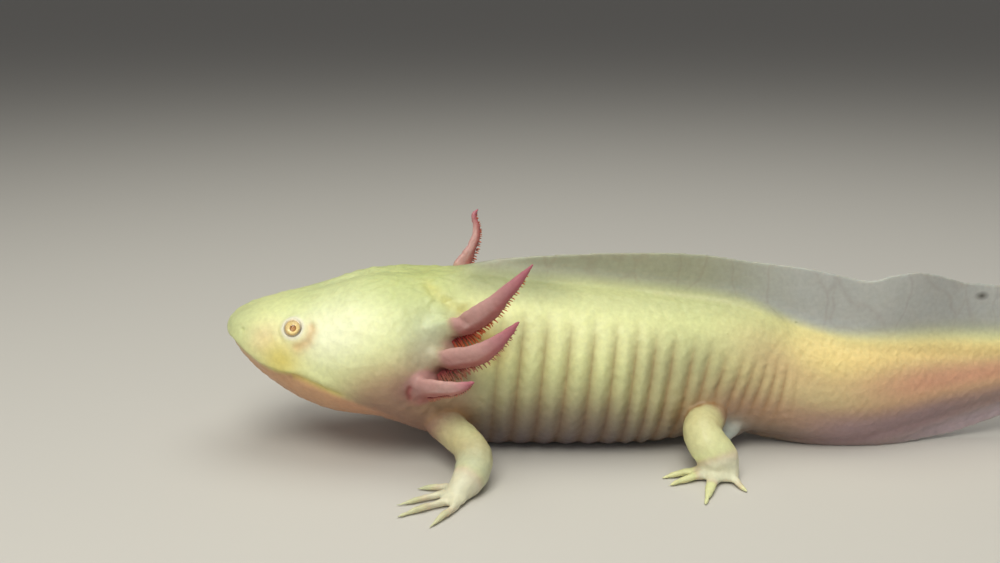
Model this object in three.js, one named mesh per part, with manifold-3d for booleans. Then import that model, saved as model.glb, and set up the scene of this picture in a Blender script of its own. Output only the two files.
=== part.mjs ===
// A pale golden axolotl lying at rest on a level floor: a still, life-size model.
//
// Millimetres, +Z up. The head points to -X and the animal's left side faces -Y.
// While it is laid out, X is the distance behind the tip of the snout, Y is the
// distance from the mid plane and Z the height above the floor. The finished
// pieces are moved so that the middle of their underside is the origin.

import * as THREE from 'three';
import { mergeVertices } from 'three/addons/utils/BufferGeometryUtils.js';
import Module from 'manifold-3d';

const wasm = await Module();
wasm.setup();

// ---- Driving dimensions -------------------------------------------------

const TOTAL_LENGTH = 236;
const SNOUT = 1.2; // where the sections of the snout start
const GAP = 0.3; // clearance between neighbouring pieces
const FLOOR = 0;

// Profiles of the body along its length: [distance behind the snout, value].
const TOP_LINE = [
  [SNOUT, 31.6], [2.2, 33.1], [4.6, 34.9], [9, 36.6], [19, 38.8], [27, 41.4], [35, 43.8],
  [44, 44.7], [54, 44.8], [61, 44.4], [68, 43.4], [93, 40.6], [111, 38.6], [126, 36.8],
  [142, 31.4], [155, 28.0], [180, 25.6], [215, 23.0], [TOTAL_LENGTH, 20.4],
];
const BOTTOM_LINE = [
  [SNOUT, 29.4], [2.4, 27.2], [4, 24.9], [8, 20.6], [13, 16.8], [18, 13.9], [22, 12.0],
  [28, 10.1], [38, 9.2], [43, 7.7], [48, 5.2], [57, 1.2], [68, -0.3], [100, -0.3],
  [114, 0.9], [134, 2.6], [146, 1.4], [157, 1.9], [170, 5.2], [195, 12.9], [TOTAL_LENGTH, 19.4],
];
const HALF_WIDTH = [
  [SNOUT, 0.8], [2.2, 5.0], [4.8, 8.8], [13, 13.6], [25, 17.2], [36, 20.2], [44, 20.8],
  [52, 18.4], [60, 16.2], [70, 16.2], [88, 17.0], [104, 16.2], [118, 13.4],
  [130, 10.6], [155, 6.4], [185, 3.8], [215, 1.9], [TOTAL_LENGTH, 0.5],
];
const WIDEST_HEIGHT = [
  [SNOUT, 30.8], [8, 28.2], [18, 25.8], [30, 23.6], [45, 21.4], [62, 18.8],
  [110, 17.2], [140, 15.4], [170, 15.6], [TOTAL_LENGTH, 19.9],
];
const UPPER_POWER = 2.3; // roundness of the section above its widest height
const LOWER_POWER = [[0, 2.3], [45, 2.2], [66, 1.85], [120, 1.85], [150, 2.1]];
// Sideways curve of the tail, towards the animal's right where it is positive.
const TAIL_CURVE = [[0, 0], [128, 0], [155, -3.5], [180, 0], [210, 5], [TOTAL_LENGTH, 10]];

// Rib-like folds of the flank.
const GROOVES = [
  67.1, 72.3, 77.9, 83.6, 89.2, 94.4, 99.3, 103.6, 107.8, 112.4, 116.2, 120.0,
  124.0, 127.3, 130.5, 133.6,
];
const GROOVE_DEPTH = 0.65;
const GROOVE_REACH = 2.2; // half the width of one fold
// Rearward lean of a fold for each millimetre of height.
const GROOVE_SLANT = [[62, 0.12], [95, 0.15], [112, 0.24], [126, 0.38]];

// Where the body is parted: a leaning plane behind the gills, then two upright ones.
const NECK_CUT = { point: [62, 0, 36], facing: [1, 0, -0.46] };
const VENT_CUT = 131.6;
const TAIL_CUT = 177;

// The swelling of the vent, under the base of the tail.
const VENT = { centre: [124.5, 0, 3.6], size: [5.2, 8.2, 3.5] };

// Fins: heights of the free edges along the length.
const BACK_FIN = { from: 60, to: TOTAL_LENGTH - 2 };
const BACK_FIN_EDGE = [
  [56, 44.4], [63, 45.9], [68.3, 46.9], [80.5, 47.9], [104.8, 48.7], [117, 48.2],
  [129.2, 46.7], [144, 45.2], [152.8, 43.2], [158, 42.5], [163, 44.0],
  [168.3, 44.8], [173.4, 44.0], [183.5, 40.8], [191.5, 39.8], [206, 35.4],
  [220, 29.8], [231, 23.8], [TOTAL_LENGTH, 20.0],
];
const BELLY_FIN = { from: VENT_CUT + 1, to: TOTAL_LENGTH - 2 };
const BELLY_FIN_EDGE = [
  [129, 2.4], [136, 0.8], [143, 0.0], [149, -0.5], [166, -0.5], [172, 0.2],
  [182.7, 1.2], [187.6, 2.4], [194.8, 4.8], [206, 8.6], [220, 12.6],
  [231, 17.0], [TOTAL_LENGTH, 19.6],
];
const FIN_EDGE_HALF = 0.36; // half the thickness at the free edge
const FIN_ROOT_HALF = 1.5;
const FIN_FLARE = 9; // height over which the fin thickens into its root
const FIN_ROOT_SHARE = 0.35; // how deep in the body a fin starts, before its root is cut away
const FIN_RIPPLE = { height: 1.6, wave: 6.2, from: 140, full: 160 };

// Eyes: `proud` is how far the ball stands out of the skin.
const EYE = { x: 19.8, z: 33.0, radius: 2.7, proud: 1.25 };
const EYE_RIM = { radius: 0.5, facing: [-0.12, 0.86, 0.48] };

// Mouth line: height of the slit along the side of the snout.
const MOUTH_LINE = [
  [-2, 29.3], [2, 29.2], [4.3, 28.7], [5.5, 27.8], [7.9, 26.2], [11.7, 24.0], [16.2, 22.7], [21, 22.8],
];
const MOUTH = { from: -3, corner: 21, depth: 1.2, opening: 0.5, closing: 16 };
const LIP = { from: 1.6, to: 20, above: 0.7, sunk: 0.35, radii: [0.45, 0.75, 0.75, 0.3] };
const NOSTRIL = { x: 6.8, sunk: 0.2, z: 31.9, radius: 0.75 };

// Gills, from inside the skin to the tip, from the lowest up.
const GILLS = {
  left: {
    bottom: [
      [46.7, -17.6, 20.2], [50.7, -20.4, 21.3], [54.1, -23.2, 22.2], [57.0, -25.8, 23.2],
      [59.8, -28.0, 24.4], [62.5, -30.0, 26.3],
    ],
    middle: [
      [52.1, -15.8, 26.1], [55.7, -18.0, 27.3], [59.3, -21.2, 28.9], [62.9, -24.3, 30.7],
      [67.6, -27.6, 34.7], [72.5, -31.0, 40.6],
    ],
    top: [
      [54.4, -13.6, 33.0], [58.3, -16.2, 34.7], [61.4, -18.8, 36.8], [64.7, -21.2, 39.7],
      [69.9, -24.4, 45.5], [75.5, -27.0, 52.4],
    ],
  },
  right: {
    bottom: [
      [46.7, 17.6, 20.2], [50.7, 20.4, 21.3], [54.1, 23.2, 22.2], [57.0, 25.8, 23.2],
      [59.8, 28.0, 24.4], [62.5, 30.0, 26.3],
    ],
    middle: [
      [51.6, 14.9, 25.6], [54.4, 17.8, 28.4], [56.2, 20.4, 32.4], [57.6, 22.6, 37.4],
      [58.6, 24.4, 43.4],
    ],
    top: [
      [53.8, 12.6, 31.8], [56.6, 15.8, 36.2], [58.6, 18.5, 41.4], [60.6, 20, 44.6],
      [61.9, 21.5, 47.4], [62.1, 22.8, 50.4], [61.4, 23.6, 53.0], [62.5, 24.2, 54.5],
    ],
  },
};
const GILL_RADII = {
  left: {
    bottom: [3.0, 3.0, 2.4, 2.1, 1.5, 0.4],
    middle: [3.4, 3.3, 3.1, 2.9, 1.9, 0.4],
    top: [3.4, 3.3, 3.1, 2.9, 1.9, 0.4],
  },
  right: {
    bottom: [3.0, 3.0, 2.4, 2.1, 1.5, 0.4],
    middle: [3.0, 2.7, 2.3, 1.8, 1.3, 0.4],
    top: [3.0, 2.7, 2.3, 1.8, 1.3, 1.0, 0.8, 0.4],
  },
};
const GILL_FLATNESS = 0.5;
const GILL_THIN_WAY = [0, 1, 0.3]; // the direction in which the stalks are flat
// Filaments hang from the rear edge of each gill in two rows.
const FILAMENT = {
  first: { bottom: 0.4, middle: 0.3, top: 0.3 }, // where a row starts along the gill
  last: 0.9,
  crowding: 1.35, // above 1 the filaments stand closer near the root
  perRow: {
    left: { bottom: 8, middle: 11, top: 11 },
    right: { bottom: 6, middle: 7, top: 8 },
  },
  length: [[0, 3.1], [0.3, 2.8], [0.55, 1.5], [1, 0.9]],
  shorter: { bottom: 0.45, middle: 1, top: 1 },
  radii: [0.4, 0.14],
  splay: 0.5, // sideways lean of the two rows
  sweep: 0.35, // lean towards the tip of the gill
  stagger: 0.25, // offset of one row against the other
  variation: 0.2,
  seed: 17,
};

// Limbs on the left side. Radii follow the joints of each chain, and each cut is
// the number of a joint with the direction that its plane faces.
const LIMBS = {
  front: {
    names: ['upper_arm', 'forearm', 'hand'],
    chain: [
      [53.0, -8, 12.8], [54.4, -13.5, 10.6], [57.4, -18, 9.3], [60.8, -22.5, 8.0],
      [62.4, -26, 6.3], [62.0, -29.5, 4.5], [60.5, -33, 3.2], [58.8, -35.6, 2.2],
    ],
    radii: [5.0, 4.5, 4.1, 4.0, 4.2, 4.1, 3.6, 2.6],
    cuts: [[4, [0.1, -0.7, -0.7]], [6, [-0.5, -0.6, -0.6]]],
    palm: [58.2, -35.8, 1.4],
    palmSize: [3.4, 4.2, 1.4],
    digits: [
      [[56.2, -30.8], [49.5, -29.8]],
      [[55.3, -34.4], [45.6, -38.2]],
      [[55.8, -38.2], [45.9, -43.9]],
      [[58.3, -40.6], [53.4, -48.5]],
    ],
  },
  hind: {
    names: ['thigh', 'shank', 'foot'],
    chain: [
      [119.5, -5, 12.6], [118.6, -11, 10.8], [116.8, -15.5, 10.0], [116.1, -19, 9.2],
      [117.2, -21.2, 7.3], [118.9, -22.2, 5.0], [119.9, -22.8, 3.4], [120.3, -23.2, 2.4],
    ],
    radii: [5.2, 4.6, 4.5, 4.5, 4.7, 4.6, 4.2, 3.2],
    cuts: [[3, [0.3, -0.5, -0.8]], [6, [0.1, -0.1, -1]]],
    palm: [119.4, -23.6, 1.4],
    palmSize: [4.3, 3.6, 1.4],
    digits: [
      [[115.6, -21.6], [106.1, -24.0]],
      [[115.4, -24.2], [107.1, -28.2]],
      [[117.6, -27.0], [113.9, -37.8]],
      [[122.0, -25.6], [124.5, -31.4]],
      [[123.2, -20.5], [124.6, -16.4]],
    ],
  },
};
const DIGIT_RADII = [1.4, 1.1, 0.5];
// The right limbs mirror the left ones, set a little further along the body.
const RIGHT_LIMB_SHIFT = { front: -2.5, hind: 3.0, from: 12, full: 30 };

// Sides and steps of the faceted surfaces.
const FACETS = {
  body: { sides: 26 },
  fin: { rows: 4, step: 5.2 },
  gill: { sides: 10, steps: 10 },
  filament: { sides: 3, steps: 1 },
  limb: { sides: 12, steps: 14 },
  digit: { sides: 6, steps: 3 },
  lip: { sides: 5, steps: 8, spacing: 2.3 },
  ball: 7,
  palm: 6,
  nostril: 4,
  rim: { sides: 5, steps: 16 },
  mouth: { step: 2 },
};

const COLOURS = {
  head: 0xe9e6b4,
  trunk: 0xdcd6a2,
  tail: 0xd6b27a,
  fin: 0xb9b08f,
  gill: 0xb87878,
  limb: 0xe6dba6,
  eye: 0xf0cf78,
};
const ROUGHNESS = { head: 0.42, trunk: 0.45, tail: 0.45, fin: 0.35, gill: 0.4, limb: 0.45, eye: 0.12 };

// ---- Curves -------------------------------------------------------------

/** Monotone cubic through [position, value] pairs, held level past both ends. */
function profile(points) {
  const count = points.length;
  const slopes = [];
  for (let i = 0; i < count - 1; i += 1) {
    slopes.push((points[i + 1][1] - points[i][1]) / (points[i + 1][0] - points[i][0]));
  }
  const tangents = points.map((point, i) => {
    if (i === 0) return slopes[0];
    if (i === count - 1) return slopes[count - 2];
    if (slopes[i - 1] * slopes[i] <= 0) return 0;
    return (2 * slopes[i - 1] * slopes[i]) / (slopes[i - 1] + slopes[i]);
  });
  return (position) => {
    if (position <= points[0][0]) return points[0][1];
    if (position >= points[count - 1][0]) return points[count - 1][1];
    let i = 0;
    while (position > points[i + 1][0]) i += 1;
    const width = points[i + 1][0] - points[i][0];
    const t = (position - points[i][0]) / width;
    const rise = points[i + 1][1] - points[i][1];
    const a = tangents[i] * width - rise;
    const b = -tangents[i + 1] * width + rise;
    return points[i][1] + t * rise + t * (1 - t) * (a * (1 - t) + b * t);
  };
}

/** Profile over 0 to 1 through evenly spaced values. */
const evenly = (values) => profile(values.map((value, i) => [i / (values.length - 1), value]));

function smoothStep(from, to, value) {
  const t = THREE.MathUtils.clamp((value - from) / (to - from), 0, 1);
  return t * t * (3 - 2 * t);
}

/** Seeded numbers between -1 and 1. */
function randomFrom(seed) {
  let state = seed;
  return () => {
    state = (state * 16807) % 2147483647;
    return (2 * state) / 2147483647 - 1;
  };
}

/** Smooth line through points, and at each place along it the directions that frame it. */
function framedLine(path, thin) {
  const points = path.map((point) => new THREE.Vector3(...point));
  const line = new THREE.CatmullRomCurve3(points, false, 'centripetal');
  return (t) => {
    const along = line.getTangent(t);
    const down = new THREE.Vector3(...thin);
    down.addScaledVector(along, -along.dot(down)).normalize();
    return { centre: line.getPoint(t), along, down, across: new THREE.Vector3().crossVectors(along, down) };
  };
}

const topLine = profile(TOP_LINE);
const bottomLine = profile(BOTTOM_LINE);
const halfWidth = profile(HALF_WIDTH);
const widestHeight = profile(WIDEST_HEIGHT);
const lowerPower = profile(LOWER_POWER);
const grooveSlant = profile(GROOVE_SLANT);
const tailCurve = profile(TAIL_CURVE);
const backFinEdge = profile(BACK_FIN_EDGE);
const bellyFinEdge = profile(BELLY_FIN_EDGE);
const mouthLine = profile(MOUTH_LINE);

// ---- Closed solids ------------------------------------------------------

function solidFromPoints(points, faces) {
  const solid = new wasm.Manifold(new wasm.Mesh({
    numProp: 3,
    vertProperties: Float32Array.from(points.flatMap((point) => [point.x, point.y, point.z])),
    triVerts: Uint32Array.from(faces),
  }));
  if (solid.volume() >= 0) return solid;
  return solidFromPoints(points, faces.toReversed());
}

/** Closed solid from rings of points, each ring the same length, with a point at both ends. */
function solidFromRings(rings, startTip, endTip) {
  const sides = rings[0].length;
  const points = [...rings.flat(), startTip, endTip];
  const start = points.length - 2;
  const end = points.length - 1;
  const lastRing = (rings.length - 1) * sides;
  const faces = [];
  for (let side = 0; side < sides; side += 1) {
    const next = (side + 1) % sides;
    faces.push(start, next, side);
    for (let ring = 0; ring < rings.length - 1; ring += 1) {
      const here = ring * sides;
      const ahead = here + sides;
      faces.push(here + side, here + next, ahead + next);
      faces.push(here + side, ahead + next, ahead + side);
    }
    faces.push(end, lastRing + side, lastRing + next);
  }
  return solidFromPoints(points, faces);
}

/** Closed solid from a three.js geometry, with its shared corners merged. */
function solidFromGeometry(geometry) {
  geometry.deleteAttribute('normal');
  geometry.deleteAttribute('uv');
  const merged = mergeVertices(geometry, 1e-4);
  return new wasm.Manifold(new wasm.Mesh({
    numProp: 3,
    vertProperties: Float32Array.from(merged.attributes.position.array),
    triVerts: Uint32Array.from(merged.index.array),
  }));
}

/** Ellipsoid with the given half axes. */
function ball(centre, size, rows = FACETS.ball) {
  const geometry = new THREE.SphereGeometry(1, rows * 2, rows);
  geometry.scale(...size);
  geometry.translate(...centre);
  return solidFromGeometry(geometry);
}

/** Tapered tube with pointed ends; `flat` squeezes it along the direction `thin`. */
function taperedTube(path, radii, { sides, steps, thin = [0, 0, 1], flat = 1 }) {
  const frameAt = framedLine(path, thin);
  const radiusAlong = evenly(radii);
  const rings = [];
  for (let step = 0; step <= steps; step += 1) {
    const { centre, down, across } = frameAt(step / steps);
    const radius = radiusAlong(step / steps);
    const ring = [];
    for (let side = 0; side < sides; side += 1) {
      const angle = (2 * Math.PI * side) / sides;
      ring.push(centre.clone()
        .addScaledVector(down, radius * flat * Math.cos(angle))
        .addScaledVector(across, radius * Math.sin(angle)));
    }
    rings.push(ring);
  }
  const start = frameAt(0);
  const end = frameAt(1);
  return solidFromRings(
    rings,
    start.centre.addScaledVector(start.along, -0.5 * radiusAlong(0)),
    end.centre.addScaledVector(end.along, 0.8 * radiusAlong(1)),
  );
}

/** The largest closed surface of a solid. */
function largest(solid) {
  const parts = solid.decompose();
  return parts.reduce((best, part) => (part.volume() > best.volume() ? part : best));
}

/** The part of a solid on the side of a plane that `facing` points to, half a gap clear of it. */
function sideOf(solid, point, facing) {
  const direction = facing.clone().normalize();
  return solid.trimByPlane(direction.toArray(), direction.dot(point) + GAP / 2);
}

const aheadOf = (solid, x) => sideOf(solid, new THREE.Vector3(x, 0, 0), new THREE.Vector3(-1, 0, 0));
const behind = (solid, x) => sideOf(solid, new THREE.Vector3(x, 0, 0), new THREE.Vector3(1, 0, 0));
const aboveFloor = (solid) => solid.trimByPlane([0, 0, 1], FLOOR);

// ---- Body ---------------------------------------------------------------

function grooveDepth(along) {
  const fade = smoothStep(62, 70, along) * (1 - smoothStep(126, 136, along));
  const nearest = Math.min(...GROOVES.map((groove) => Math.abs(groove - along)));
  return GROOVE_DEPTH * fade * (1 - smoothStep(0, GROOVE_REACH, nearest));
}

/** One ring of the skin, swollen by `grow`, with the folds of the flank pressed in. */
function bodyRing(along, grow) {
  const top = topLine(along) + grow;
  const bottom = bottomLine(along) - grow;
  const middle = widestHeight(along);
  const width = Math.max(halfWidth(along) + grow, 0.15);
  const slant = grooveSlant(along) * smoothStep(56, 68, along) * (1 - smoothStep(128, 146, along));
  const snoutShift = -grow * (1 - smoothStep(SNOUT, 14, along));
  const tipShift = grow * smoothStep(226, TOTAL_LENGTH, along);
  const depth = grooveDepth(along);
  const ring = [];
  for (let side = 0; side < FACETS.body.sides; side += 1) {
    const angle = (2 * Math.PI * side) / FACETS.body.sides;
    const rise = Math.sin(angle);
    const reach = Math.cos(angle);
    const power = rise > 0 ? UPPER_POWER : lowerPower(along);
    const height = rise > 0 ? top - middle : middle - bottom;
    const flank = 1 - smoothStep(0.55, 0.92, Math.abs(rise));
    const y = Math.sign(reach) * Math.abs(reach) ** (2 / power) * (width - depth * flank);
    const z = middle + Math.sign(rise) * Math.abs(rise) ** (2 / power) * height;
    const x = along + snoutShift + tipShift + slant * (z - middle);
    ring.push(new THREE.Vector3(x, y + tailCurve(along), z));
  }
  return ring;
}

/** Places of the rings: close at the snout, one in and one between the grooves, wide on the tail. */
function bodyStations() {
  const stations = [SNOUT, 1.6, 2.2, 3.2, 4.6, 6.6, 9, 12, 15.5];
  for (let along = 19; along < 66; along += 4) stations.push(along);
  GROOVES.forEach((groove, i) => {
    const next = GROOVES[i + 1] ?? groove + 4;
    stations.push(groove, (groove + next) / 2);
  });
  for (let along = 142; along < 231; along += 8) stations.push(along);
  stations.push(232, TOTAL_LENGTH);
  return stations;
}

function bodySolid(grow) {
  const rings = bodyStations().map((along) => bodyRing(along, grow));
  const startTip = new THREE.Vector3(SNOUT - 0.3 - grow, 0, widestHeight(SNOUT));
  const endTip = new THREE.Vector3(
    TOTAL_LENGTH + 0.4 + grow,
    tailCurve(TOTAL_LENGTH),
    widestHeight(TOTAL_LENGTH),
  );
  return solidFromRings(rings, startTip, endTip);
}

/** Distance of the skin from the mid plane at a place along the body and a height. */
function skinOffset(along, height) {
  const middle = widestHeight(along);
  const above = height > middle;
  const span = above ? topLine(along) - middle : middle - bottomLine(along);
  const power = above ? UPPER_POWER : lowerPower(along);
  const part = Math.min(Math.abs(height - middle) / span, 1);
  return halfWidth(along) * (1 - part ** power) ** (1 / power);
}

// ---- Head ---------------------------------------------------------------

/** Curved sheet along the mouth line that bites only as deep as the slit. */
function mouthCutter(inside) {
  const lower = [];
  const upper = [];
  for (let x = MOUTH.from; x <= MOUTH.corner; x += FACETS.mouth.step) {
    const closing = smoothStep(MOUTH.closing, MOUTH.corner + 1, x);
    const half = (MOUTH.opening / 2) * (1 - 0.7 * closing);
    lower.push(new THREE.Vector2(x, mouthLine(x) - half));
    upper.push(new THREE.Vector2(x, mouthLine(x) + half));
  }
  const outline = new THREE.Shape([...lower, ...upper.reverse()]);
  const width = 60;
  const sheet = new THREE.ExtrudeGeometry(outline, { depth: width, bevelEnabled: false });
  sheet.rotateX(Math.PI / 2);
  sheet.translate(0, width / 2, 0);
  return solidFromGeometry(sheet).subtract(inside);
}

/** Rounded edge of the upper lip on one side. */
function lip(sign) {
  const path = [];
  for (let x = LIP.from; x <= LIP.to; x += FACETS.lip.spacing) {
    const z = mouthLine(x) + LIP.above;
    path.push([x, sign * (skinOffset(x, z) - LIP.sunk), z]);
  }
  return taperedTube(path, LIP.radii, FACETS.lip);
}

function eyeCentre(sign) {
  const offset = skinOffset(EYE.x, EYE.z) + EYE.proud - EYE.radius;
  return new THREE.Vector3(EYE.x, sign * offset, EYE.z);
}

/** Low fold of skin round one eye, in place of a lid. */
function eyeRim(sign) {
  const { sides, steps } = FACETS.rim;
  const rim = new THREE.TorusGeometry(EYE.radius - 0.1, EYE_RIM.radius, sides, steps);
  const [x, y, z] = EYE_RIM.facing;
  const outward = new THREE.Vector3(x, sign * y, z).normalize();
  rim.applyQuaternion(new THREE.Quaternion().setFromUnitVectors(new THREE.Vector3(0, 0, 1), outward));
  const centre = eyeCentre(sign).addScaledVector(outward, EYE.radius - EYE.proud - EYE_RIM.radius / 2);
  rim.translate(...centre.toArray());
  return solidFromGeometry(rim);
}

function headSolid(flesh) {
  let head = flesh;
  for (const sign of [-1, 1]) head = head.add(lip(sign)).add(eyeRim(sign));
  head = head.subtract(mouthCutter(bodySolid(-MOUTH.depth)));
  for (const sign of [-1, 1]) {
    const socket = EYE.radius + GAP;
    head = head.subtract(ball(eyeCentre(sign).toArray(), [socket, socket, socket]));
    const { x, sunk, z, radius } = NOSTRIL;
    const pit = [x, sign * (skinOffset(x, z) - sunk), z];
    head = head.subtract(ball(pit, [radius, radius, radius], FACETS.nostril));
  }
  return head;
}

// ---- Fins ---------------------------------------------------------------

/** Sideways ripple of the tail fin's free edge. */
function finRipple(along, height) {
  const outward = Math.max(Math.abs(height - widestHeight(along)) - 8, 0) / 18;
  const fade = smoothStep(FIN_RIPPLE.from, FIN_RIPPLE.full, along);
  return FIN_RIPPLE.height * outward * fade * Math.sin((along - FIN_RIPPLE.from) / FIN_RIPPLE.wave);
}

/** Upright membrane between a free edge and a line inside the body. */
function finSolid({ from, to }, edge, root) {
  const { rows, step } = FACETS.fin;
  const stations = [];
  for (let along = from; along < to - step / 2; along += step) stations.push(along);
  stations.push(to);
  const face = (along, sign) => {
    const line = [];
    for (let row = 0; row <= rows; row += 1) {
      const z = THREE.MathUtils.lerp(root(along), edge(along), row / rows);
      const below = Math.min(Math.abs(edge(along) - z) / FIN_FLARE, 1);
      const half = THREE.MathUtils.lerp(FIN_EDGE_HALF, FIN_ROOT_HALF, below ** 1.5);
      line.push(new THREE.Vector3(along, tailCurve(along) + finRipple(along, z) + sign * half, z));
    }
    return line;
  };
  const rings = stations.map((along) => [...face(along, -1), ...face(along, 1).reverse()]);
  const middleOf = (ring) => ring.reduce((sum, point) => sum.add(point), new THREE.Vector3())
    .multiplyScalar(1 / ring.length);
  return solidFromRings(rings, middleOf(rings[0]), middleOf(rings[rings.length - 1]));
}

const backFinRoot = (along) => THREE.MathUtils.lerp(topLine(along), bottomLine(along), FIN_ROOT_SHARE);
const bellyFinRoot = (along) => THREE.MathUtils.lerp(bottomLine(along), topLine(along), FIN_ROOT_SHARE);

// ---- Gills --------------------------------------------------------------

/** One filament on a gill's rear edge, at a place from 0 to 1 along the gill. */
function filamentSolid(frameAt, stalkRadius, place, row, reach, grow) {
  const { centre, along, down, across } = frameAt(place);
  const rearward = Math.sign(across.x - 0.6 * across.z);
  const radius = stalkRadius(place);
  const root = centre.clone()
    .addScaledVector(across, rearward * radius * 0.6)
    .addScaledVector(down, row * radius * GILL_FLATNESS * 0.4);
  const direction = across.clone().multiplyScalar(rearward)
    .addScaledVector(down, row * FILAMENT.splay)
    .addScaledVector(along, FILAMENT.sweep)
    .normalize();
  const tip = root.clone().addScaledVector(direction, radius * 0.4 + reach);
  const radii = FILAMENT.radii.map((value) => value + grow);
  return taperedTube([root.toArray(), tip.toArray()], radii, { ...FACETS.filament, thin: along.toArray() });
}

/** A gill swollen by `grow`: a flat tapering stalk with two rows of filaments along its rear edge. */
function gillSolid(side, level, grow) {
  const path = GILLS[side][level];
  const radii = GILL_RADII[side][level].map((radius) => radius + grow);
  const shape = { ...FACETS.gill, thin: GILL_THIN_WAY, flat: GILL_FLATNESS + grow / 6 };
  let gill = taperedTube(path, radii, shape);
  const frameAt = framedLine(path, GILL_THIN_WAY);
  const stalkRadius = evenly(GILL_RADII[side][level]);
  const lengthAlong = profile(FILAMENT.length);
  const random = randomFrom(FILAMENT.seed);
  const count = FILAMENT.perRow[side][level];
  for (let i = 0; i < count; i += 1) {
    for (const row of [-1, 1]) {
      const share = ((i + FILAMENT.stagger * row + 0.5) / count) ** FILAMENT.crowding;
      const place = THREE.MathUtils.lerp(FILAMENT.first[level], FILAMENT.last, share);
      const reach = lengthAlong(share) * FILAMENT.shorter[level] * (1 + FILAMENT.variation * random());
      gill = gill.add(filamentSolid(frameAt, stalkRadius, place, row, reach, grow));
    }
  }
  return gill;
}

// ---- Limbs --------------------------------------------------------------

/** The three pieces of one limb: two lengths of the limb, then the hand or foot. */
function limbSolids(limb, sign, shift, clearBody) {
  const { from, full } = RIGHT_LIMB_SHIFT;
  const place = ([x, y, z]) => [x + shift * smoothStep(from, full, -y), -sign * y, z];
  const chain = limb.chain.map(place);
  let whole = taperedTube(chain, limb.radii, { ...FACETS.limb, thin: [1, 0, 0] });
  whole = whole.add(ball(place(limb.palm), limb.palmSize, FACETS.palm));
  const [rootRadius, middleRadius, tipRadius] = DIGIT_RADII;
  for (const [knuckle, tip] of limb.digits) {
    const root = place([limb.palm[0], limb.palm[1], rootRadius]);
    const path = [root, place([...knuckle, middleRadius + 0.1]), place([...tip, tipRadius * 0.8])];
    whole = whole.add(taperedTube(path, DIGIT_RADII, FACETS.digit));
  }
  whole = aboveFloor(whole).subtract(clearBody);
  const [first, second] = limb.cuts.map(([joint, [x, y, z]]) => ({
    point: new THREE.Vector3(...chain[joint]),
    facing: new THREE.Vector3(x, -sign * y, z),
  }));
  const upper = sideOf(whole, first.point, first.facing.clone().negate());
  const rest = sideOf(whole, first.point, first.facing);
  const lower = sideOf(rest, second.point, second.facing.clone().negate());
  const end = sideOf(rest, second.point, second.facing);
  return [upper, lower, end];
}

// ---- Pieces -------------------------------------------------------------

/** Every piece of the animal: its name, its solid and the name of its finish. */
function* allPieces() {
  const body = aboveFloor(bodySolid(0));
  const clearBody = bodySolid(GAP);

  const neckPoint = new THREE.Vector3(...NECK_CUT.point);
  const neckFacing = new THREE.Vector3(...NECK_CUT.facing);
  yield ['head', headSolid(sideOf(body, neckPoint, neckFacing.clone().negate())), 'head'];

  const trunk = sideOf(body, neckPoint, neckFacing).add(aboveFloor(ball(VENT.centre, VENT.size)));
  yield ['torso', aheadOf(trunk, VENT_CUT), 'trunk'];
  yield ['tail_base', aheadOf(behind(body, VENT_CUT), TAIL_CUT), 'tail'];
  yield ['tail_tip', behind(body, TAIL_CUT), 'tail'];

  const backFin = finSolid(BACK_FIN, backFinEdge, backFinRoot).subtract(clearBody);
  yield ['fin_back', aheadOf(backFin, VENT_CUT), 'fin'];
  yield ['fin_tail_top', behind(backFin, VENT_CUT), 'fin'];
  const bellyFin = finSolid(BELLY_FIN, bellyFinEdge, bellyFinRoot);
  yield ['fin_tail_bottom', aboveFloor(bellyFin).subtract(clearBody), 'fin'];

  for (const [side, sign] of [['left', -1], ['right', 1]]) {
    yield [`eye_${side}`, ball(eyeCentre(sign).toArray(), Array(3).fill(EYE.radius)), 'eye'];

    let taken = clearBody;
    for (const level of Object.keys(GILLS[side])) {
      yield [`gill_${side}_${level}`, gillSolid(side, level, 0).subtract(taken), 'gill'];
      taken = clearBody.add(gillSolid(side, level, GAP));
    }

    for (const [kind, limb] of Object.entries(LIMBS)) {
      const shift = side === 'right' ? RIGHT_LIMB_SHIFT[kind] : 0;
      const solids = limbSolids(limb, sign, shift, clearBody);
      for (const [i, name] of limb.names.entries()) yield [`${name}_${side}`, solids[i], 'limb'];
    }
  }
}

// ---- Scene graph --------------------------------------------------------

function geometryOf(solid) {
  const mesh = solid.getMesh();
  const geometry = new THREE.BufferGeometry();
  const positions = new Float32Array(mesh.numVert * 3);
  for (let i = 0; i < mesh.numVert; i += 1) {
    for (let k = 0; k < 3; k += 1) positions[3 * i + k] = mesh.vertProperties[i * mesh.numProp + k];
  }
  geometry.setAttribute('position', new THREE.BufferAttribute(positions, 3));
  geometry.setIndex(new THREE.BufferAttribute(mesh.triVerts, 1));
  geometry.computeVertexNormals();
  return geometry;
}

const group = new THREE.Group();
for (const [name, solid, finish] of allPieces()) {
  const material = new THREE.MeshStandardMaterial({
    color: COLOURS[finish],
    roughness: ROUGHNESS[finish],
    metalness: 0,
  });
  const mesh = new THREE.Mesh(geometryOf(largest(solid)), material);
  mesh.name = name;
  group.add(mesh);
}

const bounds = new THREE.Box3().setFromObject(group);
const centre = bounds.getCenter(new THREE.Vector3());
for (const mesh of group.children) mesh.geometry.translate(-centre.x, -centre.y, -bounds.min.z);

export default group;
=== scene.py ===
"""A pale golden axolotl at rest on a level floor, life size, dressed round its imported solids.

Sizes are in millimetres in the animal's own frame: x runs back from the tip of the snout,
y from the mid plane with the left side negative, and z up from the floor. Placement turns
them into metres of the shared frame.
"""

from __future__ import annotations

import logging
import math
from dataclasses import dataclass, field
from enum import Enum
from typing import Mapping, Sequence

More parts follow.
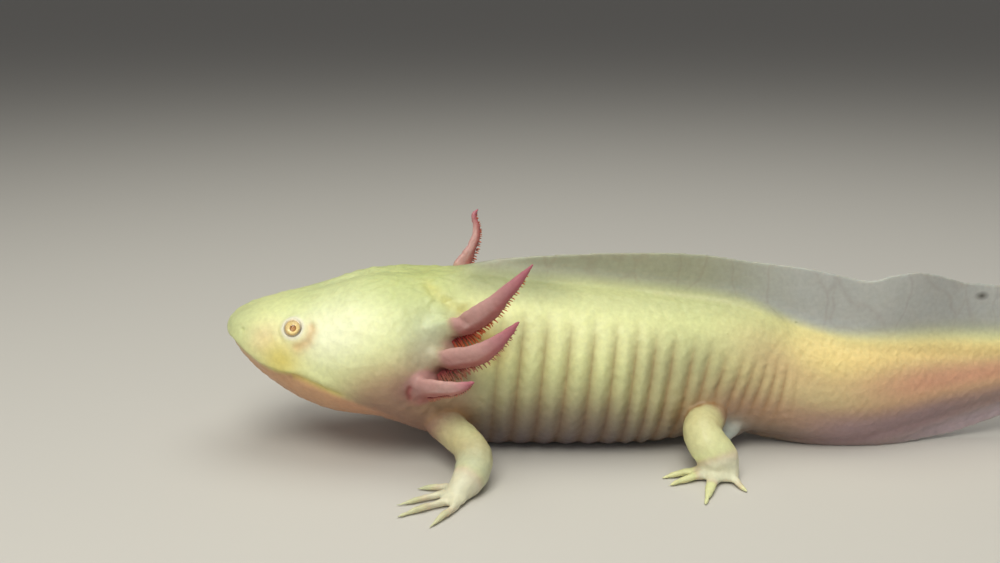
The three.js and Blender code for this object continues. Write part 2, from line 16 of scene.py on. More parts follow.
import bpy
import numpy as np
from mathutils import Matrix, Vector

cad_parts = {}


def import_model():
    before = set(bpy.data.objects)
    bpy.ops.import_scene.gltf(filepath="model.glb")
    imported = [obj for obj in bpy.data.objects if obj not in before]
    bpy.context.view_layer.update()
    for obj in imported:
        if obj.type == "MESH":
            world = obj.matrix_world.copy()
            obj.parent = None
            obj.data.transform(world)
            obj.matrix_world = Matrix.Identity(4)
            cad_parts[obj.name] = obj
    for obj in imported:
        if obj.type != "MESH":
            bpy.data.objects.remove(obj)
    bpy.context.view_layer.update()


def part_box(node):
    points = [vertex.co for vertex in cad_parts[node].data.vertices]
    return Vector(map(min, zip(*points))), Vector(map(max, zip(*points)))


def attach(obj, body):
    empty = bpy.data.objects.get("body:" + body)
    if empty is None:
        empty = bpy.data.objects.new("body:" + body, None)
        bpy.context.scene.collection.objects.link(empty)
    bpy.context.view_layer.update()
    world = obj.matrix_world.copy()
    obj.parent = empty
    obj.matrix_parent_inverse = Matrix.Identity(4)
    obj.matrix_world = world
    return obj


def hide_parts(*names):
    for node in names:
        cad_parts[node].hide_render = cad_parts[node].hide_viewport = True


LOG = logging.getLogger("axolotl")

METRES = 0.001  # metres in a millimetre
IMAGE_WIDTH = 1000
LEAST_WEIGHT = 0.001  # corners that would move less than this share are left alone

Points = Sequence[tuple[float, ...]]
Tree = bpy.types.NodeTree
Socket = bpy.types.NodeSocket


class Side(Enum):
    """Sides of the animal, each with the sign of y on it."""

    LEFT = -1
    RIGHT = 1


# ---- Colours and nodes ----------------------------------------------------


def linear(code: str) -> tuple[float, float, float, float]:
    """Turns an sRGB colour into a linear one.

    Args:
        code: Six hex digits after a hash.

    Returns:
        Red, green, blue and an alpha of 1.
    """
    values = (int(code[i : i + 2], 16) / 255 for i in (1, 3, 5))
    return (*(v / 12.92 if v <= 0.04045 else ((v + 0.055) / 1.055) ** 2.4 for v in values), 1.0)


def add_node(
    tree: Tree,
    kind: str,
    settings: Mapping[str, object] | None = None,
    inputs: Mapping[str | int, object] | None = None,
) -> bpy.types.Node:
    """Adds one node with its settings, and sets or links its inputs.

    Args:
        tree: The tree that gets the node.
        kind: Blender's name of the node type.
        settings: Properties of the node.
        inputs: A value, or the socket to link, for each input by name or number.

    Returns:
        The new node.
    """
    node = tree.nodes.new(kind)
    for name, value in (settings or {}).items():
        setattr(node, name, value)
    for name, value in (inputs or {}).items():
        socket = node.inputs[name]
        if isinstance(value, bpy.types.NodeSocket):
            tree.links.new(value, socket)
        else:
            socket.default_value = value
    return node


def new_material(name: str) -> tuple[bpy.types.Material, Tree]:
    """Makes an empty node material.

    Args:
        name: The finish it is named for.

    Returns:
        The material and its cleared tree.
    """
    material = bpy.data.materials.new(name)
    material.use_nodes = True
    material.node_tree.nodes.clear()
    return material, material.node_tree


def made(
    tree: Tree,
    kind: str,
    output: str | int,
    inputs: Mapping[str | int, object] | None = None,
    **settings: object,
) -> Socket:
    """Adds one node and gives the socket that carries its result.

    Args:
        tree: The tree that gets the node.
        kind: Blender's name of the node type.
        output: Name or number of the output.
        inputs: A value, or the socket to link, for each input by name or number.
        settings: Properties of the node.

    Returns:
        The output's socket.
    """
    return add_node(tree, kind, settings, inputs).outputs[output]


def noise(tree: Tree, place: object, scale: float, detail: float = 2.0) -> Socket:
    """Noise round 0.5 whose patches shrink as the scale grows."""
    return made(tree, "ShaderNodeTexNoise", "Fac", {"Vector": place, "Scale": scale, "Detail": detail})


def spread(
    tree: Tree, value: object, low: object, high: object, source: tuple[float, float] = (0.3, 0.7)
) -> Socket:
    """Maps a value's range onto another, held at both ends.

    Args:
        tree: The tree that gets the node.
        value: Socket of the value.
        low: Result at the start of the source range.
        high: Result at its end.
        source: Range of the value; as it stands, most of the span of a noise.

    Returns:
        The socket of the result.
    """
    inputs = {"Value": value, "From Min": source[0], "From Max": source[1], "To Min": low, "To Max": high}
    return made(tree, "ShaderNodeMapRange", "Result", inputs)


def combined(tree: Tree, operation: str, *values: object, vector: bool = False) -> Socket:
    """Adds one step of arithmetic on numbers or, where asked, on vectors."""
    output = "Value" if operation == "DISTANCE" or not vector else "Vector"
    kind = "ShaderNodeVectorMath" if vector else "ShaderNodeMath"
    return made(tree, kind, output, dict(enumerate(values)), operation=operation)


def tinted(tree: Tree, share: object, below: object, code: str) -> Socket:
    """Lays a share of one flat colour over another."""
    inputs = {0: share, 6: below, 7: linear(code)}
    return made(tree, "ShaderNodeMix", 2, inputs, data_type="RGBA", clamp_factor=True)


def shaded(tree: Tree, value: object, colour: object) -> Socket:
    """Makes a colour lighter or darker."""
    return made(tree, "ShaderNodeHueSaturation", "Color", {"Value": value, "Color": colour})


def bumped(tree: Tree, height: object, strength: object, depth: float, normal: object = None) -> Socket:
    """Turns a height into a fine relief of the surface.

    Args:
        tree: The tree that gets the node.
        height: Socket of the height.
        strength: Share of the relief that shows.
        depth: Its depth in millimetres.
        normal: Relief that it lies on.

    Returns:
        The socket of the direction that the surface faces.
    """
    inputs = {"Height": height, "Strength": strength, "Distance": depth * METRES}
    if normal is not None:
        inputs["Normal"] = normal
    return made(tree, "ShaderNodeBump", "Normal", inputs)


def stored(tree: Tree, name: str, output: str = "Fac") -> Socket:
    """Reads a value that the mesh stores at each corner."""
    return made(tree, "ShaderNodeAttribute", output, attribute_name=name)


def object_place(tree: Tree) -> Socket:
    """Reads the place on the object."""
    return made(tree, "ShaderNodeTexCoord", "Object")


def show(tree: Tree, surface: Socket) -> None:
    """Ends a material in its surface."""
    add_node(tree, "ShaderNodeOutputMaterial", inputs={"Surface": surface})


# ---- Curves ---------------------------------------------------------------


def smooth_step(start: float, end: float, value: np.ndarray) -> np.ndarray:
    """Rises smoothly from 0 at start to 1 at end.

    Args:
        start: Where the rise begins.
        end: Where the rise is over; below start it falls instead.
        value: Places to evaluate.

    Returns:
        Values between 0 and 1.
    """
    share = np.clip((value - start) / (end - start), 0, 1)
    return share * share * (3 - 2 * share)


def span(start: float, full: float, fade: float, end: float, value: np.ndarray) -> np.ndarray:
    """Rises from 0 at start to 1 when full, stays there to fade, and is back at 0 at end."""
    return smooth_step(start, full, value) * (1 - smooth_step(fade, end, value))


def hump(distance: np.ndarray, width: float) -> np.ndarray:
    """Bell curve that is 1 at no distance and fades over a width."""
    return np.exp(-((distance / width) ** 2))


def unit(rows: np.ndarray) -> np.ndarray:
    """Rows of three numbers scaled to a length of 1."""
    return rows / np.linalg.norm(rows, axis=1)[:, None]


def distance_to(points: np.ndarray, spot: Sequence[float]) -> np.ndarray:
    """Distance of each point from one spot."""
    return np.linalg.norm(points - np.array(spot), axis=1)


@dataclass(frozen=True)
class Profile:
    """Monotone cubic through (position, value) pairs, held level past both ends."""

    pairs: Points

    def __call__(self, position: np.ndarray | float) -> np.ndarray:
        """Evaluates the profile.

        Args:
            position: Places along it.

        Returns:
            The value at each place.
        """
        xs, ys = np.array(self.pairs, float).T
        slopes = np.diff(ys) / np.diff(xs)
        tangents = np.concatenate([slopes[:1], np.zeros(len(xs) - 2), slopes[-1:]])
        product = slopes[:-1] * slopes[1:]
        total = slopes[:-1] + slopes[1:]
        keep = product > 0
        tangents[1:-1][keep] = 2 * product[keep] / total[keep]
        x = np.clip(np.asarray(position, float), xs[0], xs[-1])
        i = np.clip(np.searchsorted(xs, x, side="right") - 1, 0, len(xs) - 2)
        width = xs[i + 1] - xs[i]
        t = (x - xs[i]) / width
        rise = ys[i + 1] - ys[i]
        a = tangents[i] * width - rise
        b = rise - tangents[i + 1] * width
        return ys[i] + t * rise + t * (1 - t) * (a * (1 - t) + b * t)


def evenly(values: Sequence[float]) -> Profile:
    """Profile over 0 to 1 through evenly spaced values."""
    return Profile(tuple((i / (len(values) - 1), v) for i, v in enumerate(values)))


@dataclass(frozen=True)
class Line:
    """Smooth line through points, framed by a direction in which a tube round it is flat."""

    points: Points
    thin: tuple[float, float, float] = (0.0, 0.0, 1.0)

    def at(self, places: np.ndarray) -> tuple[np.ndarray, np.ndarray, np.ndarray, np.ndarray]:
        """Finds points of the line and the directions that frame them.

        Args:
            places: Places from 0 to 1, evenly shared among the points.

        Returns:
            Centres, and the directions along the line, thin and wide.
        """
        knots = np.array(self.points, float)
        knots = np.vstack([2 * knots[0] - knots[1], knots, 2 * knots[-1] - knots[-2]])
        spacing = np.linalg.norm(np.diff(knots, axis=0), axis=1) ** 0.5
        parts = len(self.points) - 1
        i = np.clip((places * parts).astype(int), 0, parts - 1)
        t = (places * parts - i)[:, None]
        p0, p1, p2, p3 = (knots[i + k] for k in range(4))
        d0, d1, d2 = (spacing[i + k][:, None] for k in range(3))
        leave = ((p1 - p0) / d0 - (p2 - p0) / (d0 + d1) + (p2 - p1) / d1) * d1
        reach = ((p2 - p1) / d1 - (p3 - p1) / (d1 + d2) + (p3 - p2) / d2) * d1
        second = -3 * p1 + 3 * p2 - 2 * leave - reach
        third = 2 * p1 - 2 * p2 + leave + reach
        centres = p1 + t * (leave + t * (second + t * third))
        along = leave + t * (2 * second + 3 * t * third)
        along = unit(along)
        thin = unit(np.array(self.thin) - along * (along @ np.array(self.thin))[:, None])
        return centres, along, thin, np.cross(along, thin)


# ---- Closed surfaces --------------------------------------------------------


@dataclass
class Shell:
    """Closed surface: its corners in millimetres and its faces."""

    points: np.ndarray
    faces: list[tuple[int, ...]]

    @classmethod
    def loft(cls, rings: np.ndarray, start: np.ndarray, end: np.ndarray) -> Shell:
        """Closes a surface through rings of points.

        Args:
            rings: Rings of the same number of points, one after another.
            start: Point that closes the first ring.
            end: Point that closes the last ring.

        Returns:
            The closed surface.
        """
        count, sides = rings.shape[:2]
        here, side = np.meshgrid(np.arange(count - 1), np.arange(sides), indexing="ij")
        after = (side + 1) % sides
        near = (here * sides + side, here * sides + after)
        ahead = ((here + 1) * sides + after, (here + 1) * sides + side)
        faces = np.stack([*near, *ahead], -1).reshape(-1, 4).tolist()
        last = (count - 1) * sides
        for k in range(sides):
            following = (k + 1) % sides
            faces.append((count * sides, following, k))
            faces.append((count * sides + 1, last + k, last + following))
        return cls(np.vstack([rings.reshape(-1, 3), start, end]), faces)

    @classmethod
    def ball(cls, centre: Sequence[float], size: Sequence[float], rings: int = 24) -> Shell:
        """Makes an ellipsoid.

        Args:
            centre: Its middle.
            size: Its half axes.
            rings: Rings between its poles.

        Returns:
            The closed surface.
        """
        tilt = np.linspace(0, np.pi, rings + 2)[1:-1, None]
        turn = np.linspace(0, 2 * np.pi, 2 * rings, endpoint=False)[None]
        rows = np.sin(tilt) * np.cos(turn), np.sin(tilt) * np.sin(turn), np.cos(tilt) + 0 * turn
        middle, half = np.array(centre, float), np.array(size, float)
        pole = np.array([0, 0, half[2]])
        return cls.loft(np.stack(rows, -1) * half + middle, middle + pole, middle - pole)

    @classmethod
    def tube(
        cls, line: Line, radii: Sequence[float], sides: int, steps: int, flats: Sequence[float] = (1, 1)
    ) -> Shell:
        """Makes a tapered tube with rounded ends.

        Args:
            line: Its centre line.
            radii: Radii, evenly shared along the line.
            sides: Sides of each ring.
            steps: Rings along the line.
            flats: Its thickness as a share of its width, evenly shared along the line.

        Returns:
            The closed surface.
        """
        places = np.linspace(0, 1, steps)
        centres, along, thin, wide = line.at(places)
        radius, flat = evenly(radii)(places), evenly(flats)(places)
        bend = np.radians(np.arange(80, 0, -20))
        domes = []
        for end, sign, tilt in ((0, -1, bend), (-1, 1, bend[::-1])):
            rise = sign * along[end] * radius[end] * np.sin(tilt)[:, None]
            held = [np.repeat(values[end][None], len(tilt), 0) for values in (flat, along, thin, wide)]
            domes.append([centres[end] + rise, radius[end] * np.cos(tilt), *held])
        rows = zip(domes[0], (centres, radius, flat, along, thin, wide), domes[1])
        centres, radius, flat, along, thin, wide = (np.concatenate(three) for three in rows)
        turn = np.linspace(0, 2 * np.pi, sides, endpoint=False)
        rings = centres[:, None] + radius[:, None, None] * (
            flat[:, None, None] * thin[:, None] * np.cos(turn)[None, :, None]
            + wide[:, None] * np.sin(turn)[None, :, None]
        )
        tips = (centres[end] + sign * along[end] * radius[end] * 0.2 for end, sign in ((0, -1), (-1, 1)))
        return cls.loft(rings, *tips)

    @classmethod
    def joined(cls, shells: Sequence[Shell]) -> Shell:
        """Puts several closed surfaces into one list of points and faces.

        Args:
            shells: The surfaces; they may overlap.

        Returns:
            All of them as one.
        """
        faces: list[tuple[int, ...]] = []
        offset = 0
        for shell in shells:
            faces += [tuple(k + offset for k in face) for face in shell.faces]
            offset += len(shell.points)
        return cls(np.vstack([shell.points for shell in shells]), faces)

    def to_mesh(self, name: str) -> bpy.types.Mesh:
        """Makes a Blender mesh.

        Args:
            name: The mesh's name.

        Returns:
            The mesh.
        """
        mesh = bpy.data.meshes.new(name)
        mesh.from_pydata(self.points.tolist(), [], self.faces)
        mesh.validate()
        mesh.update()
        return mesh


def placed(name: str, data: bpy.types.ID | None) -> bpy.types.Object:
    """Makes an object and puts it in the scene.

    Args:
        name: Its name.
        data: Its mesh, light or camera.

    Returns:
        The object.
    """
    item = bpy.data.objects.new(name, data)
    bpy.context.scene.collection.objects.link(item)
    return item


def plain_mesh(carrier: bpy.types.Object) -> bpy.types.Mesh:
    """Takes the mesh that an object's modifiers give, and removes the object and its own mesh.

    Args:
        carrier: The object.

    Returns:
        The mesh, without modifiers.
    """
    mesh = carrier.data
    depsgraph = bpy.context.evaluated_depsgraph_get()
    result = bpy.data.meshes.new_from_object(carrier.evaluated_get(depsgraph))
    bpy.data.objects.remove(carrier)
    bpy.data.meshes.remove(mesh)
    return result


def store(mesh: bpy.types.Mesh, name: str, values: np.ndarray) -> None:
    """Stores a number, or a row of three, at each corner of a mesh.

    Args:
        mesh: The mesh.
        name: Name of the attribute.
        values: One entry for each corner.
    """
    kind, field_name = ("FLOAT_VECTOR", "vector") if values.ndim > 1 else ("FLOAT", "value")
    layer = mesh.attributes.new(name, kind, "POINT")
    layer.data.foreach_set(field_name, values.astype(np.float32).ravel())


def evaluated(mesh: bpy.types.Mesh, kind: str, settings: Mapping[str, object]) -> bpy.types.Mesh:
    """Runs one modifier on a mesh.

    Args:
        mesh: The mesh, which is used up.
        kind: Blender's name of the modifier type.
        settings: Properties of the modifier.

    Returns:
        The mesh that the modifier gives.
    """
    carrier = placed("carrier", mesh)
    modifier = carrier.modifiers.new("step", kind)
    for name, value in settings.items():
        setattr(modifier, name, value)
    return plain_mesh(carrier)


def corners_of(mesh: bpy.types.Mesh) -> np.ndarray:
    """Reads a mesh's corners as rows of three numbers."""
    flat = np.empty(len(mesh.vertices) * 3, np.float32)
    mesh.vertices.foreach_get("co", flat)
    return flat.reshape(-1, 3).astype(float)


def move_corners(mesh: bpy.types.Mesh, points: np.ndarray) -> None:
    """Puts a mesh's corners at new places."""
    mesh.vertices.foreach_set("co", points.astype(np.float32).ravel())
    mesh.update()


def normals_of(mesh: bpy.types.Mesh) -> np.ndarray:
    """Reads the direction that a mesh faces at each corner."""
    flat = np.empty(len(mesh.vertices) * 3, np.float32)
    mesh.vertex_normals.foreach_get("vector", flat)
    return flat.reshape(-1, 3).astype(float)


def relax(mesh: bpy.types.Mesh, weight: np.ndarray, rounds: int) -> None:
    """Draws each corner towards the middle of its neighbours.

    Args:
        mesh: The mesh to smooth.
        weight: How strongly each corner moves, from 0 to 1.
        rounds: How many times.
    """
    edges = np.empty(len(mesh.edges) * 2, np.int32)
    mesh.edges.foreach_get("vertices", edges)
    ends = edges.reshape(-1, 2)
    here = np.concatenate([ends[:, 0], ends[:, 1]])
    there = np.concatenate([ends[:, 1], ends[:, 0]])
    points = corners_of(mesh)
    weight = np.where(weight > LEAST_WEIGHT, weight, 0)[:, None]
    moving = weight[here, 0] > 0
    here, there = here[moving], there[moving]
    count = np.maximum(np.bincount(here, minlength=len(points)), 1)[:, None]
    for _ in range(rounds):
        sums = [np.bincount(here, points[there, k], len(points)) for k in range(3)]
        points += weight * (np.stack(sums, 1) / count - points)
    move_corners(mesh, points)


# ---- Forms of the animal ----------------------------------------------------


@dataclass(frozen=True)
class BodyForm:
    """Head, trunk and tail as rings of skin along the body, without limbs, gills and fins.

    Each profile runs over the distance behind the tip of the snout.
    """

    length: float = 236.0
    snout: float = 1.2
    upper_power: float = 2.3
    groove_depth: float = 1.5
    hip_shallower: float = 0.62  # share of the folds' depth that is gone behind the hip
    hip_smoother: float = 0.85  # the same for their lower ends there
    belly_notch: float = 0.5
    groove_slant: Profile = Profile(((62, 0.1), (95, 0.1), (112, 0.16), (126, 0.3)))
    top: Profile = Profile((
        (1.2, 31.6), (2.2, 33.1), (4.6, 34.9), (9, 36.6), (19, 38.8), (27, 41.4), (35, 43.8),
        (44, 44.7), (54, 44.8), (61, 44.4), (68, 43.4), (93, 40.6), (111, 38.6), (126, 36.4), (142, 29.6),
        (155, 26.8), (180, 25.2), (215, 23.0), (236, 20.4),
    ))
    bottom: Profile = Profile((
        (1.2, 29.4), (2.4, 27.2), (4, 24.9), (8, 20.6), (13, 16.8), (18, 13.9), (22, 12.0),
        (28, 10.1), (38, 9.2), (43, 7.7), (48, 5.2), (57, 1.2), (68, -0.3), (100, -0.3),
        (114, 0.9), (134, 2.6), (146, 1.4), (157, 1.8), (170, 4.1), (195, 10.6), (236, 19.4),
    ))
    half_width: Profile = Profile((
        (1.2, 0.8), (2.2, 5.0), (4.8, 8.8), (13, 13.6), (25, 17.2), (36, 20.2), (44, 20.8),
        (52, 18.4), (60, 16.2), (70, 16.2), (88, 17.0), (104, 16.2), (118, 13.4), (130, 10.6),
        (155, 6.4), (185, 3.8), (215, 1.9), (236, 0.5),
    ))
    widest: Profile = Profile((
        (1.2, 30.8), (8, 28.2), (18, 25.8), (30, 23.6), (45, 21.4), (62, 18.8), (110, 17.2),
        (140, 15.4), (170, 15.6), (236, 19.9),
    ))
    lower_power: Profile = Profile(((0, 2.3), (45, 2.2), (66, 1.85), (120, 1.85), (150, 2.1)))
    tail_curve: Profile = Profile(((0, 0), (128, 0), (155, -3.5), (180, 0), (210, 5), (236, 10)))
    groove_top: Profile = Profile(((62, 0.88), (98, 0.84), (112, 0.74), (124, 0.62), (140, 0.62)))
    grooves: tuple[float, ...] = (
        67.1, 72.3, 77.9, 83.6, 89.2, 94.4, 99.3, 103.6, 107.8, 112.4, 116.2, 120.0, 124.0,
        127.3, 130.5, 133.6, 136.6, 139.6,
    )

    def slant(self, along: np.ndarray) -> np.ndarray:
        """Rearward lean of the rings for each millimetre of height."""
        fade = span(56, 68, 128, 146, along)
        return self.groove_slant(along) * fade

    def groove(self, along: np.ndarray, sharpness: float = 1.55) -> np.ndarray:
        """How far into a fold of the flank each ring lies, from 0 to 1.

        Args:
            along: Places of the rings.
            sharpness: How steeply the ribs round off into the folds.

        Returns:
            1 at the bottom of a fold, 0 on the crest of a rib.
        """
        folds = np.array(self.grooves)
        half = np.interp(along, folds[1:], np.diff(folds)) / 2
        nearest = np.min(np.abs(along[..., None] - folds), axis=-1)
        fade = span(62, 70, 135, 143, along)
        return fade * np.clip(1 - nearest / half, 0, 1) ** sharpness

    def flank(self, along: np.ndarray, rise: np.ndarray) -> np.ndarray:
        """Share of the folds at a height: none on the back, and none low down behind the hip.

        Args:
            along: Places along the body.
            rise: Height over the widest part, 1 on the back.

        Returns:
            1 where the folds are deepest, 0 where the skin is smooth.
        """
        low = smooth_step(112, 124, along) * (1 - smooth_step(-0.5, -0.05, rise))
        upper = smooth_step(-0.5, 0.0, rise - self.groove_top(along))
        return (1 - upper) * (1 - self.hip_smoother * low)

    def shell(self, sides: int, step: float) -> Shell:
        """Makes the closed skin.

        Args:
            sides: Points round each ring.
            step: Distance between the rings.

        Returns:
            The closed surface.
        """
        stations = np.concatenate([
            np.arange(self.snout, 6, step / 2), np.arange(6, self.length, step), [self.length],
        ])
        along = stations[:, None]
        turn = np.linspace(0, 2 * np.pi, sides, endpoint=False)[None]
        rise, reach = np.sin(turn), np.cos(turn)
        middle = self.widest(along)
        power = np.where(rise > 0, self.upper_power, self.lower_power(along))
        height = np.where(rise > 0, self.top(along) - middle, middle - self.bottom(along))
        groove = self.groove(along)
        behind = 1 - self.hip_shallower * smooth_step(98, 126, along)
        depth = self.groove_depth * behind * groove * self.flank(along, rise)
        height = height - self.belly_notch * groove * smooth_step(0.5, 0.9, -rise)
        y = np.sign(reach) * np.abs(reach) ** (2 / power) * (self.half_width(along) - depth)
        z = middle + np.sign(rise) * np.abs(rise) ** (2 / power) * height
        x = along + self.slant(along) * (z - middle)
        rings = np.stack([x, y + self.tail_curve(along), z], -1)
        start = np.array([self.snout - 0.05, 0, float(self.widest(self.snout))])
        tip = float(self.tail_curve(self.length)), float(self.widest(self.length))
        return Shell.loft(rings, start, np.array([self.length + 0.4, *tip]))

    def offset(self, along: np.ndarray | float, height: np.ndarray | float) -> np.ndarray:
        """Distance of the skin from the mid plane.

        Args:
            along: Places along the body.
            height: Heights above the floor.

        Returns:
            Half the width at each place.
        """
        middle = self.widest(along)
        above = height > middle
        reach = np.where(above, self.top(along) - middle, middle - self.bottom(along))
        power = np.where(above, self.upper_power, self.lower_power(along))
        share = np.clip(np.abs(height - middle) / np.maximum(reach, 0.1), 0, 1)
        return self.half_width(along) * (1 - share**power) ** (1 / power)


@dataclass(frozen=True)
class FinForm:
    """Upright membrane along the back or under the tail."""

    edge: Profile
    start: float
    end: float
    upward: bool
    rim_half: float = 0.34  # half the thickness at the rim
    root_half: float = 2.6
    flare: float = 2.6  # height over which the root thins out
    sunk: float = 6.0  # depth of the root inside the body, less where the tail is thin

    def shell(self, body: BodyForm, step: float, rows: int) -> Shell:
        """Makes the membrane with its root inside the body.

        Args:
            body: The body that it stands on.
            step: Distance between its stations.
            rows: Rows of points from its root to its rim.

        Returns:
            The closed surface.
        """
        along = np.append(np.arange(self.start, self.end, step), self.end)[:, None]
        sign = 1 if self.upward else -1
        back = body.top(along) if self.upward else body.bottom(along)
        root = back - sign * np.minimum(self.sunk, (body.top(along) - body.bottom(along)) / 2)
        share = np.linspace(0, 1, rows)[None]
        z = root + (self.edge(along) - root) * share
        clear = np.maximum((z - back) * sign, 0)
        root_half = np.minimum(self.root_half, 0.9 * body.half_width(along))
        half = self.rim_half + (root_half - self.rim_half) * hump(clear, self.flare)
        half = half * smooth_step(-0.1, 0.12, 1.02 - share) + 0 * z
        y = body.tail_curve(along) + self.ripple(body, along, z)
        left = np.stack([along + 0 * z, y - half, z], -1)
        right = np.stack([along + 0 * z, y + half, z], -1)[:, ::-1]
        rings = np.concatenate([left, right], 1)
        return Shell.loft(rings, rings[0].mean(0), rings[-1].mean(0))

    @staticmethod
    def ripple(body: BodyForm, along: np.ndarray, height: np.ndarray) -> np.ndarray:
        """Sideways wave of the tail fin, which grows towards its rim."""
        outward = np.maximum(np.abs(height - body.widest(along)) - 8, 0) / 18
        return 1.6 * outward * smooth_step(140, 160, along) * np.sin((along - 140) / 6.2)


BACK_FIN = FinForm(
    Profile((
        (54, 44.2), (58, 45.2), (63, 46.2), (68.3, 47.2), (80.5, 48.2), (104.8, 48.9), (117, 48.4),
        (129.2, 46.7), (144, 45.2), (152.8, 43.2), (158, 42.5), (163, 44.0), (168.3, 44.8),
        (173.4, 44.0), (183.5, 40.8), (191.5, 39.8), (206, 35.4), (220, 29.8), (231, 23.8),
        (236, 20.0),
    )),
    start=54, end=235, upward=True,
)
BELLY_FIN = FinForm(
    Profile((
        (129, 2.4), (136, 0.8), (143, 0.0), (149, -0.5), (166, -0.5), (172, 0.2),
        (182.7, 1.2), (187.6, 2.4), (194.8, 4.8), (206, 8.6), (220, 12.6), (231, 17.0),
        (236, 19.6),
    )),
    start=130, end=235, upward=False, root_half=2.0,
)


@dataclass(frozen=True)
class GillForm:
    """Flat tapering stalk of one gill."""

    side: Side
    level: str
    lead: Points  # two points under the skin of the cheek, from which the stalk rises slowly
    points: Points
    radii: tuple[float, ...]
    flats: tuple[float, ...] = (0.42, 0.46, 0.5, 0.55, 0.6)

    @property
    def line(self) -> Line:
        """Centre line of the stalk."""
        return Line(self.points, (0.0, 1.0, 0.3))

    def shells(self) -> list[Shell]:
        """Makes the closed surfaces of the stalk and of the flap that leads into it.

        Returns:
            The two surfaces.
        """
        wide = self.radii[1]
        flap = Line((*self.lead, *self.points[1:3]), (0.0, 1.0, 0.3))
        first, second = (0.25, 0.55) if self.level == "bottom" else (0.5, 1.05)
        radii = (first * wide, second * wide, 0.98 * wide, 0.6 * wide)
        return [
            Shell.tube(self.line, self.radii, 32, 70, self.flats),
            Shell.tube(flap, radii, 32, 50, (0.35, 0.36, 0.4, 0.34)),
        ]


LOW_GILL = (3.0, 3.0, 2.4, 2.1, 1.5, 0.4)
LEFT_GILL = (3.4, 3.3, 3.1, 2.9, 1.9, 0.4)
RIGHT_GILL = (3.0, 2.7, 2.3, 1.8, 1.3, 1.0, 0.8, 0.35)
LOW_LEAD = ((42.0, 19.4, 18.6), (46.0, 19.4, 19.2))
LOW_LINE = (
    (46.7, 16.8, 20.0), (50.7, 19.9, 21.1), (54.1, 23.0, 22.2), (57.0, 25.8, 23.2),
    (59.8, 28.0, 24.4), (62.5, 30.0, 26.3),
)


def mirrored(points: Points) -> Points:
    """The same points on the other side of the body."""
    return tuple((x, -y, z) for x, y, z in points)


GILLS = (
    GillForm(Side.LEFT, "bottom", mirrored(LOW_LEAD), mirrored(LOW_LINE), LOW_GILL),
    GillForm(Side.LEFT, "middle", ((48.0, -18.0, 25.0), (52.0, -17.5, 26.2)), (
        (52.1, -15.8, 26.1), (55.7, -18.0, 27.3), (59.3, -21.2, 28.9), (62.9, -24.3, 30.7),
        (67.6, -27.6, 34.7), (72.5, -31.0, 40.6),
    ), LEFT_GILL),
    GillForm(Side.LEFT, "top", ((49.5, -16.5, 31.4), (53.8, -15.5, 33.0)), (
        (54.4, -13.6, 33.0), (58.3, -16.2, 34.7), (61.4, -18.8, 36.8), (64.7, -21.2, 39.7),
        (69.9, -24.4, 45.5), (75.5, -27.0, 52.4),
    ), LEFT_GILL),
    GillForm(Side.RIGHT, "bottom", LOW_LEAD, LOW_LINE, LOW_GILL),
    GillForm(Side.RIGHT, "middle", ((46.5, 18.8, 23.6), (50.8, 18.1, 26.0)), (
        (51.6, 14.9, 25.6), (54.4, 17.8, 28.4), (56.2, 20.4, 32.4), (57.6, 22.6, 37.4),
        (58.6, 24.4, 43.4),
    ), RIGHT_GILL[:5] + (0.35,)),
    GillForm(Side.RIGHT, "top", ((48.8, 17.2, 30.2), (53.0, 16.1, 33.2)), (
        (53.8, 12.6, 31.8), (56.6, 15.8, 36.2), (58.6, 18.5, 41.4), (60.6, 20, 44.6),
        (61.9, 21.5, 47.4), (62.1, 22.8, 50.4), (61.4, 23.6, 53.0), (62.5, 24.2, 54.5),
    ), RIGHT_GILL),
)


@dataclass(frozen=True)
class LimbForm:
    """One limb: its chain of joints from inside the body, its palm and its digits.

    A digit has its knuckle and its tip as (x, y), and its width at the palm as a share.
    """

    side: Side
    chain: Points
    radii: tuple[float, ...]
    palm: tuple[float, float, float]
    palm_size: tuple[float, float, float]
    digits: tuple[tuple[tuple[float, float], tuple[float, float], float], ...]
    shift: float = 0.0
    digit_radii: tuple[float, ...] = (1.35, 1.25, 1.0, 0.82, 0.62, 0.28)

    def place(self, point: Sequence[float]) -> tuple[float, float, float]:
        """Puts a point of the left limb on this limb.

        Args:
            point: The point on the left side.

        Returns:
            The point, mirrored and shifted where this is a right limb.
        """
        x, y, z = point
        moved = x + self.shift * float(smooth_step(12, 30, -y))
        return moved, -self.side.value * y, z

    @property
    def line(self) -> Line:
        """Centre line from the root to the wrist or ankle."""
        return Line(tuple(self.place(p) for p in self.chain), (1.0, 0.0, 0.0))

    def digit_lines(self) -> list[Line]:
        """Centre lines of the digits, from the palm to each tip.

        Returns:
            One line for each digit.
        """
        lines = []
        root, middle, tip = self.digit_radii[0], self.digit_radii[2], self.digit_radii[-1]
        for knuckle, end, _ in self.digits:
            half = ((knuckle[0] + end[0]) / 2, (knuckle[1] + end[1]) / 2)
            path = ((*self.palm[:2], root), (*knuckle, middle + 0.25), (*half, middle), (*end, tip))
            lines.append(Line(tuple(self.place(p) for p in path)))
        return lines

    def shells(self) -> list[Shell]:
        """Makes the limb's overlapping closed surfaces.

        Returns:
            The limb, its palm and its digits.
        """
        parts = [Shell.tube(self.line, self.radii, 40, 90)]
        parts.append(Shell.ball(self.place(self.palm), self.palm_size))
        for line, (_, _, width) in zip(self.digit_lines(), self.digits):
            widths = [1 + (width - 1) * (1 - k / 5) for k in range(6)]
            radii = [radius * w for radius, w in zip(self.digit_radii, widths)]
            parts.append(Shell.tube(line, radii, 20, 40, [1 / w for w in widths]))
        return parts


